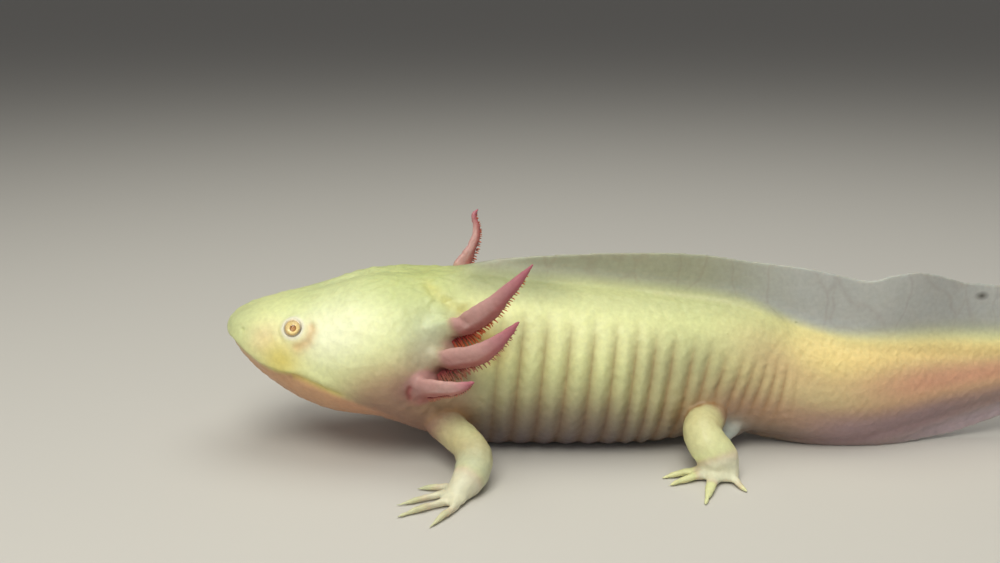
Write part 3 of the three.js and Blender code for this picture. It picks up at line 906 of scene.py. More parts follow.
FRONT = {
    "chain": (
        (53.0, -8, 12.8), (54.4, -13.5, 10.6), (57.4, -18, 9.3), (60.8, -22.5, 8.0),
        (62.4, -26, 6.3), (62.0, -29.5, 4.5), (60.5, -33, 3.2), (58.8, -35.6, 2.2),
    ),
    "radii": (5.0, 4.5, 4.1, 4.0, 4.2, 4.1, 3.6, 2.6),
    "palm": (58.2, -35.8, 1.4),
    "palm_size": (3.4, 4.2, 1.4),
    "digits": (
        ((56.2, -30.8), (49.5, -29.8), 1.0), ((55.3, -34.4), (45.6, -38.2), 1.0),
        ((55.8, -38.2), (45.9, -43.9), 1.0), ((58.3, -40.6), (53.4, -48.5), 1.0),
    ),
}
HIND = {
    "chain": (
        (119.5, -5, 12.6), (118.6, -11, 10.8), (116.8, -15.5, 10.0), (116.1, -19, 9.2),
        (117.2, -21.2, 7.3), (119.2, -22.2, 5.0), (120.6, -22.8, 3.4), (121.1, -23.2, 2.4),
    ),
    "radii": (5.2, 4.6, 4.5, 4.5, 4.7, 4.6, 4.2, 3.2),
    "palm": (119.8, -23.6, 1.4),
    "palm_size": (4.7, 3.7, 1.4),
    "digits": (
        ((115.2, -21.8), (106.1, -24), 1.6), ((115.0, -24.4), (107.1, -28.2), 1.6),
        ((117.6, -27.0), (113.9, -37.8), 2.0), ((122.0, -25.6), (124.5, -31.4), 2.0),
        ((123.2, -20.5), (124.6, -16.4), 1.4),
    ),
}
LIMBS = (
    LimbForm(Side.LEFT, **FRONT),
    LimbForm(Side.RIGHT, **FRONT, shift=-2.5),
    LimbForm(Side.LEFT, **HIND),
    LimbForm(Side.RIGHT, **HIND, shift=3.0),
)


@dataclass(frozen=True)
class EyeForm:
    """One eye: a ball set in the skin, with a sunken iris under a clear dome."""

    x: float = 19.8
    z: float = 33.0
    radius: float = 2.7
    proud: float = 1.25  # how far the ball stands out of the body's form
    iris_radius: float = 1.76
    pupil_radius: float = 0.76
    opening: float = 2.18  # radius of the opening in the skin

    def centre(self, body: BodyForm, side: Side) -> np.ndarray:
        """Middle of the ball."""
        out = float(body.offset(self.x, self.z)) + self.proud - self.radius
        return np.array([self.x, side.value * out, self.z])

    def facing(self, side: Side) -> np.ndarray:
        """Direction in which the eye looks."""
        look = np.array([-0.12, side.value * 0.86, 0.48])
        return look / np.linalg.norm(look)


MOUTH_LINE = Profile((
    (-2, 29.3), (2, 29.2), (4.3, 28.7), (5.5, 27.8), (7.9, 26.2), (11.7, 24.0), (16.2, 22.7), (21, 22.8),
))


@dataclass(frozen=True)
class Placement:
    """Turns the animal's millimetres into metres of the shared frame."""

    shift: tuple[float, float, float]

    @classmethod
    def from_eyes(cls, body: BodyForm, eye: EyeForm) -> Placement:
        """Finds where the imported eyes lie.

        Args:
            body: The body's form.
            eye: The eyes' form.

        Returns:
            The placement that puts the eyes there.
        """
        spots = [spot for name in ("eye_left", "eye_right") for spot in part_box(name)]
        middle = sum(spots, Vector()) / len(spots) / METRES
        expected = eye.centre(body, Side.LEFT)
        return cls((middle.x - expected[0], middle.y, middle.z - expected[2]))

    def metres(self, points: np.ndarray) -> np.ndarray:
        """Places in the shared frame, in metres."""
        return (np.asarray(points, float) + np.array(self.shift)) * METRES


# ---- Folds and swellings of the head -----------------------------------------


def folded(points: np.ndarray) -> np.ndarray:
    """Points with those of the left side brought over to the right."""
    return np.where([False, True, False], np.abs(points), points)


@dataclass(frozen=True)
class Swell:
    """Round rise or dip of the skin, on both sides of the body."""

    centre: tuple[float, float, float]
    radius: float
    height: float = 1.0

    def rise(self, points: np.ndarray) -> np.ndarray:
        """How far it lifts the skin at each point."""
        return self.height * hump(distance_to(folded(points), self.centre), self.radius)


@dataclass(frozen=True)
class Stroke:
    """Long fold seen from the side: a path of (x, z) points, with its width and height."""

    path: Points
    width: float
    height: float

    def closeness(self, points: np.ndarray, rim: float = 1.0) -> np.ndarray:
        """How near each point is to the path, fading out at both of its ends.

        Args:
            points: Points of the skin.
            rim: Widens the stroke.

        Returns:
            1 on the path, 0 far from it.
        """
        knots = np.array(self.path, float)
        flat = points[:, [0, 2]]
        best = np.full(len(flat), np.inf)
        share = np.zeros(len(flat))
        for k, (a, b) in enumerate(zip(knots[:-1], knots[1:])):
            leg = b - a
            t = np.clip(((flat - a) @ leg) / (leg @ leg), 0, 1)
            distance = np.linalg.norm(flat - a - t[:, None] * leg, axis=1)
            closer = distance < best
            best[closer] = distance[closer]
            share[closer] = (k + t[closer]) / (len(knots) - 1)
        ends = smooth_step(0, 0.18, share) * smooth_step(1, 0.82, share)
        return hump(best, self.width * rim) * (0.15 + 0.85 * ends)

    def rise(self, points: np.ndarray) -> np.ndarray:
        """How far it lifts the skin at each point."""
        return self.height * self.closeness(points)


@dataclass(frozen=True)
class Waves:
    """Fixed random waves of about one length, running in every direction."""

    length: float
    seed: int
    count: int = 30

    def at(self, points: np.ndarray) -> np.ndarray:
        """Evaluates the waves.

        Args:
            points: Points of the skin.

        Returns:
            Values round 0 that rarely pass 2 either way.
        """
        draw = np.random.default_rng(self.seed)
        aims = unit(draw.normal(size=(self.count, 3))) / self.length
        aims *= 2 * np.pi / draw.uniform(0.8, 1.3, (self.count, 1))
        phases = draw.uniform(0, 2 * np.pi, self.count)
        return np.sin(points @ aims.T + phases).sum(1) / math.sqrt(self.count / 2)


SWELLS = (
    Swell((19.8, 13.0, 33.0), 4.4, 0.25),  # mound of the eye
    Swell((24.0, 15.0, 32.4), 2.2, 0.3),  # soft fold behind the eye
    Swell((6.2, 8.2, 32.4), 1.8, 0.12),  # mound of the nostril
    Swell((6.8, 9.2, 31.9), 0.5, -0.8),  # nostril
    Swell((34.0, 15.5, 37.0), 7.0, 0.5),  # jaw muscle behind the eye
    Swell((31.0, 19.0, 25.0), 8.0, 0.7),  # cheek
    Swell((44.0, 19.5, 23.0), 6.0, 0.5),  # rear of the jaw
)
GILL_SLITS = (Swell((58.8, 16.4, 31.0), 1.6, -1.2), Swell((54.9, 18.0, 23.9), 1.8, -1.2))
LOW_SLIT = Stroke(((47.7, 22.2), (46.9, 20.2), (47.6, 17.8)), 0.45, -0.4)
FLAP_EDGE = Stroke((
    (60.2, 37.4), (59.8, 33.4), (57.8, 29.4), (55.8, 25.0), (51.4, 21.8), (47.6, 20.0),
), 2.6, 0.0)
CORNER_FOLD = Stroke(((15.5, 22.0), (20.5, 22.3), (24.0, 21.3), (28.7, 19.5), (33, 18.4)), 0.8, -0.55)
NAPE_CREASE = Stroke(((49.0, 43.8), (52.9, 41.5), (55.3, 39.8), (58.9, 37.4), (61.5, 36.2)), 1.0, -0.55)
EYE_FOLD = Stroke(((23.7, 35.6), (24.3, 33.6), (23.4, 31.2), (21.3, 29.8), (18.8, 29.5)), 0.8, -0.3)
STROKES = (
    EYE_FOLD,
    LOW_SLIT,
    Stroke(((16.8, 35.2), (19.4, 36.3), (22.6, 35.7)), 0.5, -0.2),  # crease over the eye
    CORNER_FOLD,
    Stroke(((17.0, 23.9), (21.5, 23.8), (25.5, 22.6), (30.0, 20.8)), 1.2, 0.45),  # lip roll
    NAPE_CREASE,
    Stroke(((16.6, 35.0), (15.9, 32.8), (17.2, 30.2)), 0.45, -0.2),  # crease before the eye
    Stroke(((11.5, 35.4), (17.0, 37.3), (22.5, 37.9), (28, 38.4)), 1.4, 0.3),  # brow
    Stroke(((8.0, 31.4), (12.0, 31.2), (15.4, 31.6)), 1.5, -0.25),  # hollow of the snout
)


TONE_SPOTS = {  # round spots of one tone, with the share of the tone in the middle
    "peach": (0.6, Swell((12.5, 12.0, 30.5), 4.2)),
    # yellow of the upper lip, made lighter as a painted highlight where the lip turns down
    "lip": (0.8, Swell((17.0, 14.0, 26.0), 5.0)),
    "gold": (0.8, Swell((65.5, 16.8, 30.0), 4.2)),
    # painted shade over the lit flap at the root of the middle gill
    "neck_shade": (0.75, Swell((51.2, 18.5, 27.6), 4.8)),
    # painted shade over the lit lobe at the root of the bottom gill
    "root": (0.8, Swell((46.4, 20.5, 20.6), 4.4)),
    "snout": (0.7, Swell((5.0, 5.0, 33.8), 6.5)),
    # pale lobes by the vent, made paler as a painted highlight
    "vent": (0.75, Swell((124.2, 8.8, 5.2), 4.0)),
}
NAPE_END = Swell((59.9, 14.0, 38.2), 2.2)  # lower end of the crease over the nape
PALE_NAPE = Swell((52.6, 17.3, 33.4), 7.0)  # pale patch before the top gill


# ---- Finishes -----------------------------------------------------------------


@dataclass(frozen=True)
class MoistSkin:
    """Skin of a pigmentless axolotl, grown and wet.

    Thin and scaleless over pale muscle, so light passes into it and comes back warm. A film
    of mucus gives it a soft gloss, and fine creases and glands make it slightly grainy.
    """

    ground: str = "#DDE2A2"
    layers: tuple[tuple[str, str], ...] = (
        ("crown", "#B9C37F"),
        # pale upper head: the skin's own whitish tone, partly a painted highlight
        ("cheek", "#F8FBD8"),
        # painted highlight along the upper flank
        ("upper", "#F1F3B8"),
        ("peach", "#EBCBA0"),
        # yellow lip, partly a painted highlight
        ("lip", "#E8D468"),
        ("tan", "#BF9E7E"),
        # painted shade over the lower flanks
        ("low", "#8C7F6B"),
        # painted shade under the belly
        ("belly", "#685A5E"),
        # painted shade under the head
        ("throat_shade", "#8A6658"),
        ("jaw", "#C49272"),
        ("fold", "#DCC958"),
        ("shade", "#CB9A62"),
        ("gold", "#CFA847"),
        ("hip", "#A5A07C"),
        ("rump", "#AF8872"),
        ("sand", "#D6BC8E"),
        ("band", "#F2DA94"),
        ("salmon", "#DCA687"),
        ("keel", "#A08688"),
        # painted shade in the folds between the ribs, darker low down and browner at the hip
        ("groove", "#8E6F42"),
        ("low_groove_shade", "#5F4C48"),
        ("hip_groove_shade", "#9A6A44"),
        ("limb", "#DEE0AA"),
        # painted shade under the upper arm and at the root of the thigh
        ("upper_arm", "#B9A679"),
        # painted shadow in the fold round each limb's root
        ("limb_fold_shade", "#8E6A3C"),
        ("wrist", "#CFAE9E"),
        # pale bluish tone of the nape, forearms and hands; on the tops of hands and feet partly a painted
        # highlight
        ("blue", "#BCC8B2"),
        ("snout", "#B4BB8E"),
        # pale bluish lobes by the vent, partly a painted highlight
        ("vent", "#D5E4E0"),
        # painted shade at the root of the middle gill
        ("neck_shade", "#A59C84"),
        # lilac-brown skin of the flaps before the gills, darkened as painted shade
        ("flap", "#A98478"),
        # painted shade along the top of the trunk
        ("back", "#949970"),
        ("fin", "#A3A58C"),
        ("tail_fin", "#B8BBBA"),
        ("keel_fin", "#C6B2BC"),
        ("edge", "#D6D5AC"),
        ("rim", "#D2D4C6"),
        ("gill", "#B98480"),
        ("gill_pale", "#D6B4B0"),
        ("gill_red", "#A64F4B"),
        ("gill_tip", "#B05670"),
        # painted shade at the root of the bottom gill, laid over the gill's tones
        ("root", "#86605A"),
        ("slit", "#8A2A34"),
        ("ring", "#E8E2D0"),
    )
    vein: str = "#7E5A50"
    fleck: str = "#3E382E"
    clouds: float = 0.05
    speckle: float = 0.07
    clear_fin: float = 0.16  # share of light that passes straight through the fin

    def build(self, fleck: np.ndarray) -> bpy.types.Material:
        """Makes the material.

        Args:
            fleck: Place of the dark fleck on the tail fin.

        Returns:
            The material.
        """
        material, tree = new_material("moist_axolotl_skin")
        place = object_place(tree)
        masks = {name: stored(tree, name) for name, _ in self.layers}
        colour: object = linear(self.ground)
        for name, code in self.layers:
            colour = tinted(tree, masks[name], colour, code)
        colour = self._mottle(tree, place, colour)
        colour = self._veins(tree, place, masks["fin"], colour)
        colour = self._fleck(tree, place, fleck, colour)
        clear = combined(tree, "MULTIPLY", masks["fin"], self.clear_fin)
        shader = add_node(tree, "ShaderNodeBsdfPrincipled", {"subsurface_method": "BURLEY"}, {
            "Base Color": colour,
            "Roughness": spread(tree, noise(tree, place, 220.0), 0.42, 0.56),
            "IOR": 1.4,
            "Subsurface Weight": 0.22,
            "Subsurface Radius": (1.0, 0.55, 0.3),
            "Subsurface Scale": 1.6 * METRES,
            "Coat Weight": 0.12,
            "Coat Roughness": 0.22,
            "Alpha": combined(tree, "SUBTRACT", 1.0, clear),
            "Normal": self._creases(tree, place, masks["band"]),
        })
        show(tree, shader.outputs["BSDF"])
        return material

    def _mottle(self, tree: Tree, place: object, colour: object) -> object:
        """Varies the colour in cloudy patches and fine specks.

        Args:
            tree: The tree of the material.
            place: Place on the object.
            colour: Colour so far.

        Returns:
            The varied colour.
        """
        for scale, detail, amount in ((90, 3.0, self.clouds), (900, 2.0, self.speckle)):
            value = spread(tree, noise(tree, place, scale, detail), 1 - amount, 1 + amount / 2)
            colour = shaded(tree, value, colour)
        return colour

    def _veins(self, tree: Tree, place: object, fin: object, colour: object) -> object:
        """Draws a few thin upright veins in the fin, about a centimetre apart.

        Args:
            tree: The tree of the material.
            place: Place on the object.
            fin: Share of fin.
            colour: Colour so far.

        Returns:
            The colour with the veins.
        """
        warp = made(tree, "ShaderNodeTexNoise", "Color", {"Vector": place, "Scale": 60.0, "Detail": 2.0})
        bent = combined(tree, "MULTIPLY_ADD", warp, (0.012, 0.012, 0.012), place, vector=True)
        upright = combined(tree, "MULTIPLY", bent, (1.2, 1.2, 0.4), vector=True)
        inputs = {"Vector": upright, "Scale": 75.0}
        cells = made(tree, "ShaderNodeTexVoronoi", "Distance", inputs, feature="DISTANCE_TO_EDGE")
        line = spread(tree, cells, 0.13, 0.0, (0.0, 0.045))
        return tinted(tree, combined(tree, "MULTIPLY", line, fin), colour, self.vein)

    def _fleck(self, tree: Tree, place: object, spot: np.ndarray, colour: object) -> object:
        """Adds one soft dark fleck about 3 mm long on the tail fin.

        Args:
            tree: The tree of the material.
            place: Place on the object.
            spot: Middle of the fleck in metres.
            colour: Colour so far.

        Returns:
            The colour with the fleck.
        """
        flatten = np.array([0.6, 0.0, 1.0])
        flat = combined(tree, "MULTIPLY", place, tuple(flatten), vector=True)
        distance = combined(tree, "DISTANCE", flat, tuple(spot * flatten), vector=True)
        share = spread(tree, distance, 0.85, 0.0, (0.1 * METRES, 1.3 * METRES))
        return tinted(tree, share, colour, self.fleck)

    @staticmethod
    def _creases(tree: Tree, place: object, band: object) -> object:
        """Adds glands 0.7 mm apart and creases 1.5 mm apart, deeper on the golden band of the tail.

        Args:
            tree: The tree of the material.
            place: Place on the object.
            band: Share of the golden band.

        Returns:
            The direction that the surface faces.
        """
        inputs = {"Vector": place, "Scale": 1500.0}
        glands = made(tree, "ShaderNodeTexVoronoi", "Distance", inputs, feature="SMOOTH_F1")
        inputs = {"Vector": place, "Scale": 680.0, "Detail": 2.0}
        net = made(tree, "ShaderNodeTexNoise", "Fac", inputs, noise_type="RIDGED_MULTIFRACTAL")
        deep = spread(tree, band, 0.16, 0.85, (0.0, 1.0))
        return bumped(tree, net, deep, 0.22, bumped(tree, glands, 0.25, 0.1))


@dataclass(frozen=True)
class GillThread:
    """Gill filament: soft thin-walled tissue full of blood, dark red where it is crowded."""

    root: str = "#8E1C2A"
    tip: str = "#D07448"

    def build(self, name: str) -> bpy.types.Material:
        """Makes the material.

        Args:
            name: Name of the material.

        Returns:
            The material.
        """
        material, tree = new_material(name)
        tone = tinted(tree, stored(tree, "reach_share"), linear(self.root), self.tip)
        grain = noise(tree, object_place(tree), 800.0)
        shader = add_node(tree, "ShaderNodeBsdfPrincipled", inputs={
            "Base Color": shaded(tree, spread(tree, grain, 0.8, 1.2), tone),
            "Roughness": 0.4,
            "IOR": 1.38,
            "Subsurface Weight": 0.15,
            "Subsurface Radius": (1.0, 0.3, 0.2),
            "Subsurface Scale": 0.5 * METRES,
            "Normal": bumped(tree, grain, 0.2, 0.05),
        })
        show(tree, shader.outputs["BSDF"])
        return material


@dataclass(frozen=True)
class EyeTissue:
    """Iris and ball of a pigmentless eye: gold fibres round an orange-brown pupil."""

    stops: tuple[tuple[float, str], ...] = (
        (0.0, "#C28A54"), (0.19, "#B8824E"), (0.25, "#94653C"), (0.285, "#A8784A"), (0.31, "#F6D898"),
        (0.43, "#FFEAB4"), (0.58, "#FFF0C4"), (0.64, "#F0D8AC"), (0.70, "#EEE6DE"), (1.0, "#F8F4EE"),
    )
    ball_radius: float = 2.7  # the stops run from the eye's axis to this distance

    def build(self) -> bpy.types.Material:
        """Makes the material, which reads the distance from the eye's axis in millimetres.

        Returns:
            The material.
        """
        material, tree = new_material("pigmentless_iris")
        outward = combined(tree, "DIVIDE", stored(tree, "axis_distance"), self.ball_radius)
        ramp = add_node(tree, "ShaderNodeValToRGB", inputs={"Fac": outward})
        elements = ramp.color_ramp.elements
        while len(elements) < len(self.stops):
            elements.new(0.5)
        for element, (position, code) in zip(elements, self.stops):
            element.position = position
            element.color = linear(code)
        fibres = noise(tree, stored(tree, "iris_place", "Vector"), 9.0, 3.0)
        shader = add_node(tree, "ShaderNodeBsdfPrincipled", inputs={
            "Base Color": shaded(tree, spread(tree, fibres, 0.82, 1.1), ramp.outputs["Color"]),
            "Roughness": 0.35,
            "Coat Weight": 0.5,
            "Coat Roughness": 0.05,
            "Normal": bumped(tree, fibres, 0.4, 0.1),
        })
        show(tree, shader.outputs["BSDF"])
        return material


@dataclass(frozen=True)
class Cornea:
    """Clear wet dome over the iris: it only shows where it mirrors the light."""

    index: float = 1.376  # refraction of wet cornea

    def build(self) -> bpy.types.Material:
        """Makes the material.

        Returns:
            The material.
        """
        material, tree = new_material("wet_clear_cornea")
        clear = add_node(tree, "ShaderNodeBsdfTransparent", inputs={"Color": linear("#FDFBF2")})
        gloss = add_node(tree, "ShaderNodeBsdfAnisotropic", inputs={
            "Color": linear("#FFFFFF"), "Roughness": 0.05,
        })
        share = made(tree, "ShaderNodeFresnel", "Fac", {"IOR": self.index})
        mixed = add_node(tree, "ShaderNodeMixShader", inputs={
            0: share, 1: clear.outputs["BSDF"], 2: gloss.outputs["BSDF"],
        })
        show(tree, mixed.outputs["Shader"])
        return material


@dataclass(frozen=True)
class StudioPaper:
    """Matt seamless paper, pale and plain, with a barely visible tooth."""

    tone: str = "#C9C6C2"

    def build(self) -> bpy.types.Material:
        """Makes the material.

        Returns:
            The material.
        """
        material, tree = new_material("matt_studio_paper")
        shader = add_node(tree, "ShaderNodeBsdfPrincipled", inputs={
            "Base Color": linear(self.tone),
            "Roughness": 0.9,
            "Normal": bumped(tree, noise(tree, object_place(tree), 400.0), 0.05, 0.2),
        })
        show(tree, shader.outputs["BSDF"])
        return material


# ---- Skin -----------------------------------------------------------------------


@dataclass
class Skin:
    """One unbroken skin over head, trunk, tail, fins, limbs and the stalks of the gills."""

    body: BodyForm
    eye: EyeForm
    placement: Placement
    voxel: float = 0.36
    quick_voxel: float = 0.7
    faces_kept: int = 190_000
    vent: tuple[float, float, float] = (124.5, 0.0, 4.4)
    fleck: tuple[float, float, float] = (187.6, 1.0, 37.2)
    finish: MoistSkin = field(default_factory=MoistSkin)

    def build(self) -> bpy.types.Object:
        """Makes the skin, dresses it and has it stand for the nodes of flesh.

        Returns:
            The skin's object.
        """
        voxel = self.voxel
        mesh = evaluated(self._flesh().to_mesh("flesh"), "REMESH", {
            "mode": "VOXEL", "voxel_size": voxel, "adaptivity": 0.0,
        })
        LOG.info("skin fused: %d corners", len(mesh.vertices))
        self._settle(mesh)
        self._sculpt(mesh)
        triangles = 2 * len(mesh.polygons)
        mesh = evaluated(mesh, "DECIMATE", {"ratio": min(1.0, self.faces_kept / triangles)})
        points = corners_of(mesh)
        points[:, 2] = np.maximum(points[:, 2], 0.0)
        move_corners(mesh, self.placement.metres(points))
        self._mark(mesh, points)
        mesh.shade_smooth()
        mesh.materials.clear()
        mesh.materials.append(self.finish.build(self.placement.metres(self.fleck)))
        skin = placed("skin", mesh)
        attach(skin, "root")
        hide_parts(*FLESH_NODES)
        LOG.info("skin: %d faces", len(mesh.polygons))
        return skin

    def _flesh(self) -> Shell:
        """Makes the overlapping closed forms of all flesh.

        Returns:
            All of them as one.
        """
        forms = [self.body.shell(200, 0.5)]
        forms += [fin.shell(self.body, 0.8, 60) for fin in (BACK_FIN, BELLY_FIN)]
        forms.append(Shell.ball(self.vent, (6.0, 6.6, 3.4)))
        for x, z, size in ((124.8, 6.4, (3.2, 1.8, 2.8)), (123.8, 3.8, (1.9, 1.6, 2.7))):
            forms += [Shell.ball((x, y, z), size) for y in (-7.6, 7.6)]  # lobes beside the vent
        forms += [shell for part in (*GILLS, *LIMBS) for shell in part.shells()]
        return Shell.joined(forms)

    def _settle(self, mesh: bpy.types.Mesh) -> None:
        """Smooths the whole skin lightly, and more where forms meet.

        Args:
            mesh: The fused flesh.
        """
        points = corners_of(mesh)
        relax(mesh, np.full(len(points), 0.5), 3)
        points = corners_of(mesh)
        x, y, z = points.T
        clear = np.abs(y) - self.body.offset(x, z)
        weight, crease, flap = (np.zeros(len(points)) for _ in range(3))
        for limb in LIMBS:
            near = 1 - smooth_step(5.5, 10, distance_to(points, limb.place(limb.chain[2])))
            crease = np.maximum(crease, near * hump(clear - 0.2, 1.2))
            near = 1 - smooth_step(5.5, 9, distance_to(points, limb.place(limb.palm)))
            weight = np.maximum(weight, 0.8 * near * smooth_step(0.2, 1.2, z))
        for gill in GILLS:
            for middle in (gill.points[1], gill.lead[1]):
                near = 1 - smooth_step(4.5, 7.5, distance_to(points, middle))
                flap = np.maximum(flap, near * hump(np.minimum(clear - 1.2, 0), 2.5))
        relax(mesh, 0.7 * flap * smooth_step(4.0, 1.0, clear), 45)
        relax(mesh, 0.6 * crease, 12)
        for over, start, end in ((z - self.body.top(x), 50, 58), (self.body.bottom(x) - z, 126, 134)):
            weight = np.maximum(weight, 0.8 * hump(over - 0.4, 1.6) * smooth_step(start, end, x))
        weight = np.maximum(weight, 1 - smooth_step(8, 12, distance_to(points, (124.5, 0, 4.0))))
        relax(mesh, weight * 0.7, 24)

    def _sculpt(self, mesh: bpy.types.Mesh) -> None:
        """Presses the folds, the mouth and the eye sockets into the skin.

        Args:
            mesh: The smoothed flesh.
        """
        points = corners_of(mesh)
        outward = normals_of(mesh)
        head = points[:, 0] < 64
        spots = points[head]
        rise = sum(form.rise(spots) for form in (*SWELLS, *STROKES))
        rise = rise + self._mouth(spots) + self._crown(spots)
        relief = self._grain(points)
        clear = np.abs(spots[:, 1]) - self.body.offset(spots[:, 0], spots[:, 2])
        bare = 1 - smooth_step(1.0, 2.2, clear)
        relief[head] += rise + bare * sum(slit.rise(spots) for slit in GILL_SLITS)
        moved = points + outward * relief[:, None]
        for side in Side:
            self._socket(moved, side)
        move_corners(mesh, moved)

    def _grain(self, points: np.ndarray) -> np.ndarray:
        """Small uneven relief: bumps on the crown, pebbles on the tail's golden band.

        Args:
            points: Corners in millimetres.

        Returns:
            How far the skin rises at each corner.
        """
        x, _, z = points.T
        share = self._share_of_height(x, z)
        crown = span(24, 34, 58, 66, x) * smooth_step(0.62, 0.86, share)
        band = smooth_step(124, 142, x) * hump(share - 0.9, 0.2)
        solid = 1 - smooth_step(-0.5, 1.0, z - self.body.top(x)) * (x > 60)
        bumps = 0.05 * solid * Waves(2.3, 5).at(points)
        bumps += crown * (0.06 * Waves(4.2, 6).at(points) - 0.12 * hump(Waves(4.6, 7).at(points), 0.3))
        return bumps - 0.1 * band * hump(Waves(1.6, 8).at(points), 0.4)

    @staticmethod
    def _mouth(points: np.ndarray) -> np.ndarray:
        """Slit of the mouth, with the lower jaw set back under the lip.

        Args:
            points: Corners in millimetres.

        Returns:
            How far the skin rises at each corner.
        """
        x, z = points[:, 0], points[:, 2]
        above = z - MOUTH_LINE(x)
        fade = 1 - smooth_step(17.5, 22.5, x)
        slit = -0.8 * hump(above, 0.42)
        lip = 0.16 * hump(above - 1.2, 0.9)
        jaw = -0.85 * span(0.3, -0.9, -2.0, -8.0, above)
        return fade * (slit + lip + jaw)

    @staticmethod
    def _crown(points: np.ndarray) -> np.ndarray:
        """Shallow furrow along the middle of the crown."""
        x, side, z = points[:, 0], np.abs(points[:, 1]), points[:, 2]
        length = span(20, 30, 46, 58, x)
        return -0.7 * length * hump(side, 3.0) * smooth_step(30, 36, z)

    def _socket(self, points: np.ndarray, side: Side) -> None:
        """Opens the skin round one eye, so that its edge lies flush on the ball.

        Args:
            points: Corners of the skin, which are moved.
            side: Side of the eye.
        """
        centre, facing = self.eye.centre(self.body, side), self.eye.facing(side)
        offset = points - centre
        height = offset @ facing
        across = offset - height[:, None] * facing
        radius = np.linalg.norm(across, axis=1)
        opening, ball, blend, snap = self.eye.opening, self.eye.radius, 1.8, 0.26
        flush = math.sqrt(ball**2 - opening**2) - 0.03
        front = (height > -0.5) & (radius < opening + blend)
        inside, rim = front & (radius < opening - snap), front & (radius >= opening - snap)
        bowl = -np.sqrt((ball + 0.1) ** 2 - radius[inside] ** 2)
        points[inside] += facing * (bowl - height[inside])[:, None]
        gap = np.maximum(radius[rim] - opening, 0)
        share = 1 - smooth_step(0.05, 1, gap / blend)
        lift = share * (flush - height[rim]) + 0.1 * hump(gap - 0.5, 0.3)
        target = opening + np.maximum(gap - snap * np.exp(-gap / 0.5), 0)
        outward = across[rim] / radius[rim][:, None]
        points[rim] += facing * lift[:, None] + outward * (target - radius[rim])[:, None]

    def _mark(self, mesh: bpy.types.Mesh, points: np.ndarray) -> None:
        """Stores how strongly each tone of the skin shows at each corner.

        Args:
            mesh: The finished skin.
            points: Its corners in millimetres.
        """
        for name, values in self._tones(points).items():
            store(mesh, name, np.clip(values, 0, 1))

    def _tones(self, points: np.ndarray) -> dict[str, np.ndarray]:
        """Shares of each tone of the skin.

        Most tones fade in and out between places along the body, in millimetres behind the
        snout, and between shares of its height, 0 under the belly and 1 on the back.

        Args:
            points: Corners in millimetres.

        Returns:
            Values from 0 to 1 by the names in the finish.
        """
        x, _, z = points.T
        rise = self._share_of_height(x, z)
        return {
            **{name: share * spot.rise(points) for name, (share, spot) in TONE_SPOTS.items()},
            **self._head_tones(points, rise),
            **self._trunk_tones(points, rise),
            **self._tail_tones(points, rise),
            **self._limb_tones(points),
            **self._gill_tones(points),
        }

    def _share_of_height(self, x: np.ndarray, z: np.ndarray) -> np.ndarray:
        """Height over the underside as a share of the body's height."""
        bottom = self.body.bottom(x)
        return (z - bottom) / np.maximum(self.body.top(x) - bottom, 2)

    @staticmethod
    def _head_tones(points: np.ndarray, rise: np.ndarray) -> dict[str, np.ndarray]:
        """Tones of the head, with those of the underside, which fade out towards it.

        Args:
            points: Corners in millimetres.
            rise: Share of the body's height.

        Returns:
            Values from 0 to 1 by name.
        """
        x, y, z = points.T
        on_head = 1 - smooth_step(50, 66, x)
        lip_line = np.where(x > 21, 22.8 - (x - 21) * 0.42, MOUTH_LINE(x))
        tan_edge = z - 16.6 - 0.42 * (x - 20)
        return {
            "crown": 0.9 * smooth_step(0.7, 0.94, rise) * on_head * smooth_step(10, 26, x),
            # pale upper side of the head behind the eye: its own whitish tone, partly a painted highlight
            "cheek": 0.9 * on_head * hump(x - 28, 13) * hump(rise - 0.73, 0.23),
            "tan": 0.85 * span(24, 40, 58, 66, x) * smooth_step(7.5, -5, tan_edge),
            # painted shade on the throat and the lower head behind the jaw
            "throat_shade": 0.9 * span(26, 40, 58, 66, x) * smooth_step(0.56, 0.1, rise),
            "jaw": 0.9 * smooth_step(0.6, -1.2, z - lip_line) * (1 - smooth_step(34, 48, x)),
            "fold": np.maximum.reduce([
                0.38 * CORNER_FOLD.closeness(points, 1.2) * (x > 19),
                0.28 * NAPE_CREASE.closeness(points, 1.2),
                0.6 * NAPE_END.rise(points),
            ]),
            "shade": 0.6 * EYE_FOLD.closeness(points, 1.8) * (np.abs(y) > 6),
            # lilac-brown skin along the flaps before the gills, partly painted shade
            "flap": 0.7 * FLAP_EDGE.closeness(points) * (np.abs(y) > 12),
            # painted shade: the lower flanks darker towards the underside
            "low": smooth_step(0.7, 0.25, rise) * (0.95 - 0.8 * on_head - 0.2 * smooth_step(90, 110, x)),
            # painted shade: the underside of the trunk darker still, strongest under the belly
            "belly": smooth_step(0.38, 0.06, rise) * (
                0.95 - 0.66 * on_head - 0.2 * smooth_step(88, 108, x)
            ),
        }

    def _trunk_tones(self, points: np.ndarray, rise: np.ndarray) -> dict[str, np.ndarray]:
        """Tones of the flanks, of the folds between the ribs and of the back.

        Args:
            points: Corners in millimetres.
            rise: Share of the body's height.

        Returns:
            Values from 0 to 1 by name.
        """
        x, _, z = points.T
        body = self.body
        middle = body.widest(x)
        ring = x - body.slant(x) * (z - middle)
        flank = body.flank(ring, (z - middle) / np.maximum(body.top(x) - middle, 2))
        hip = smooth_step(98, 118, x)
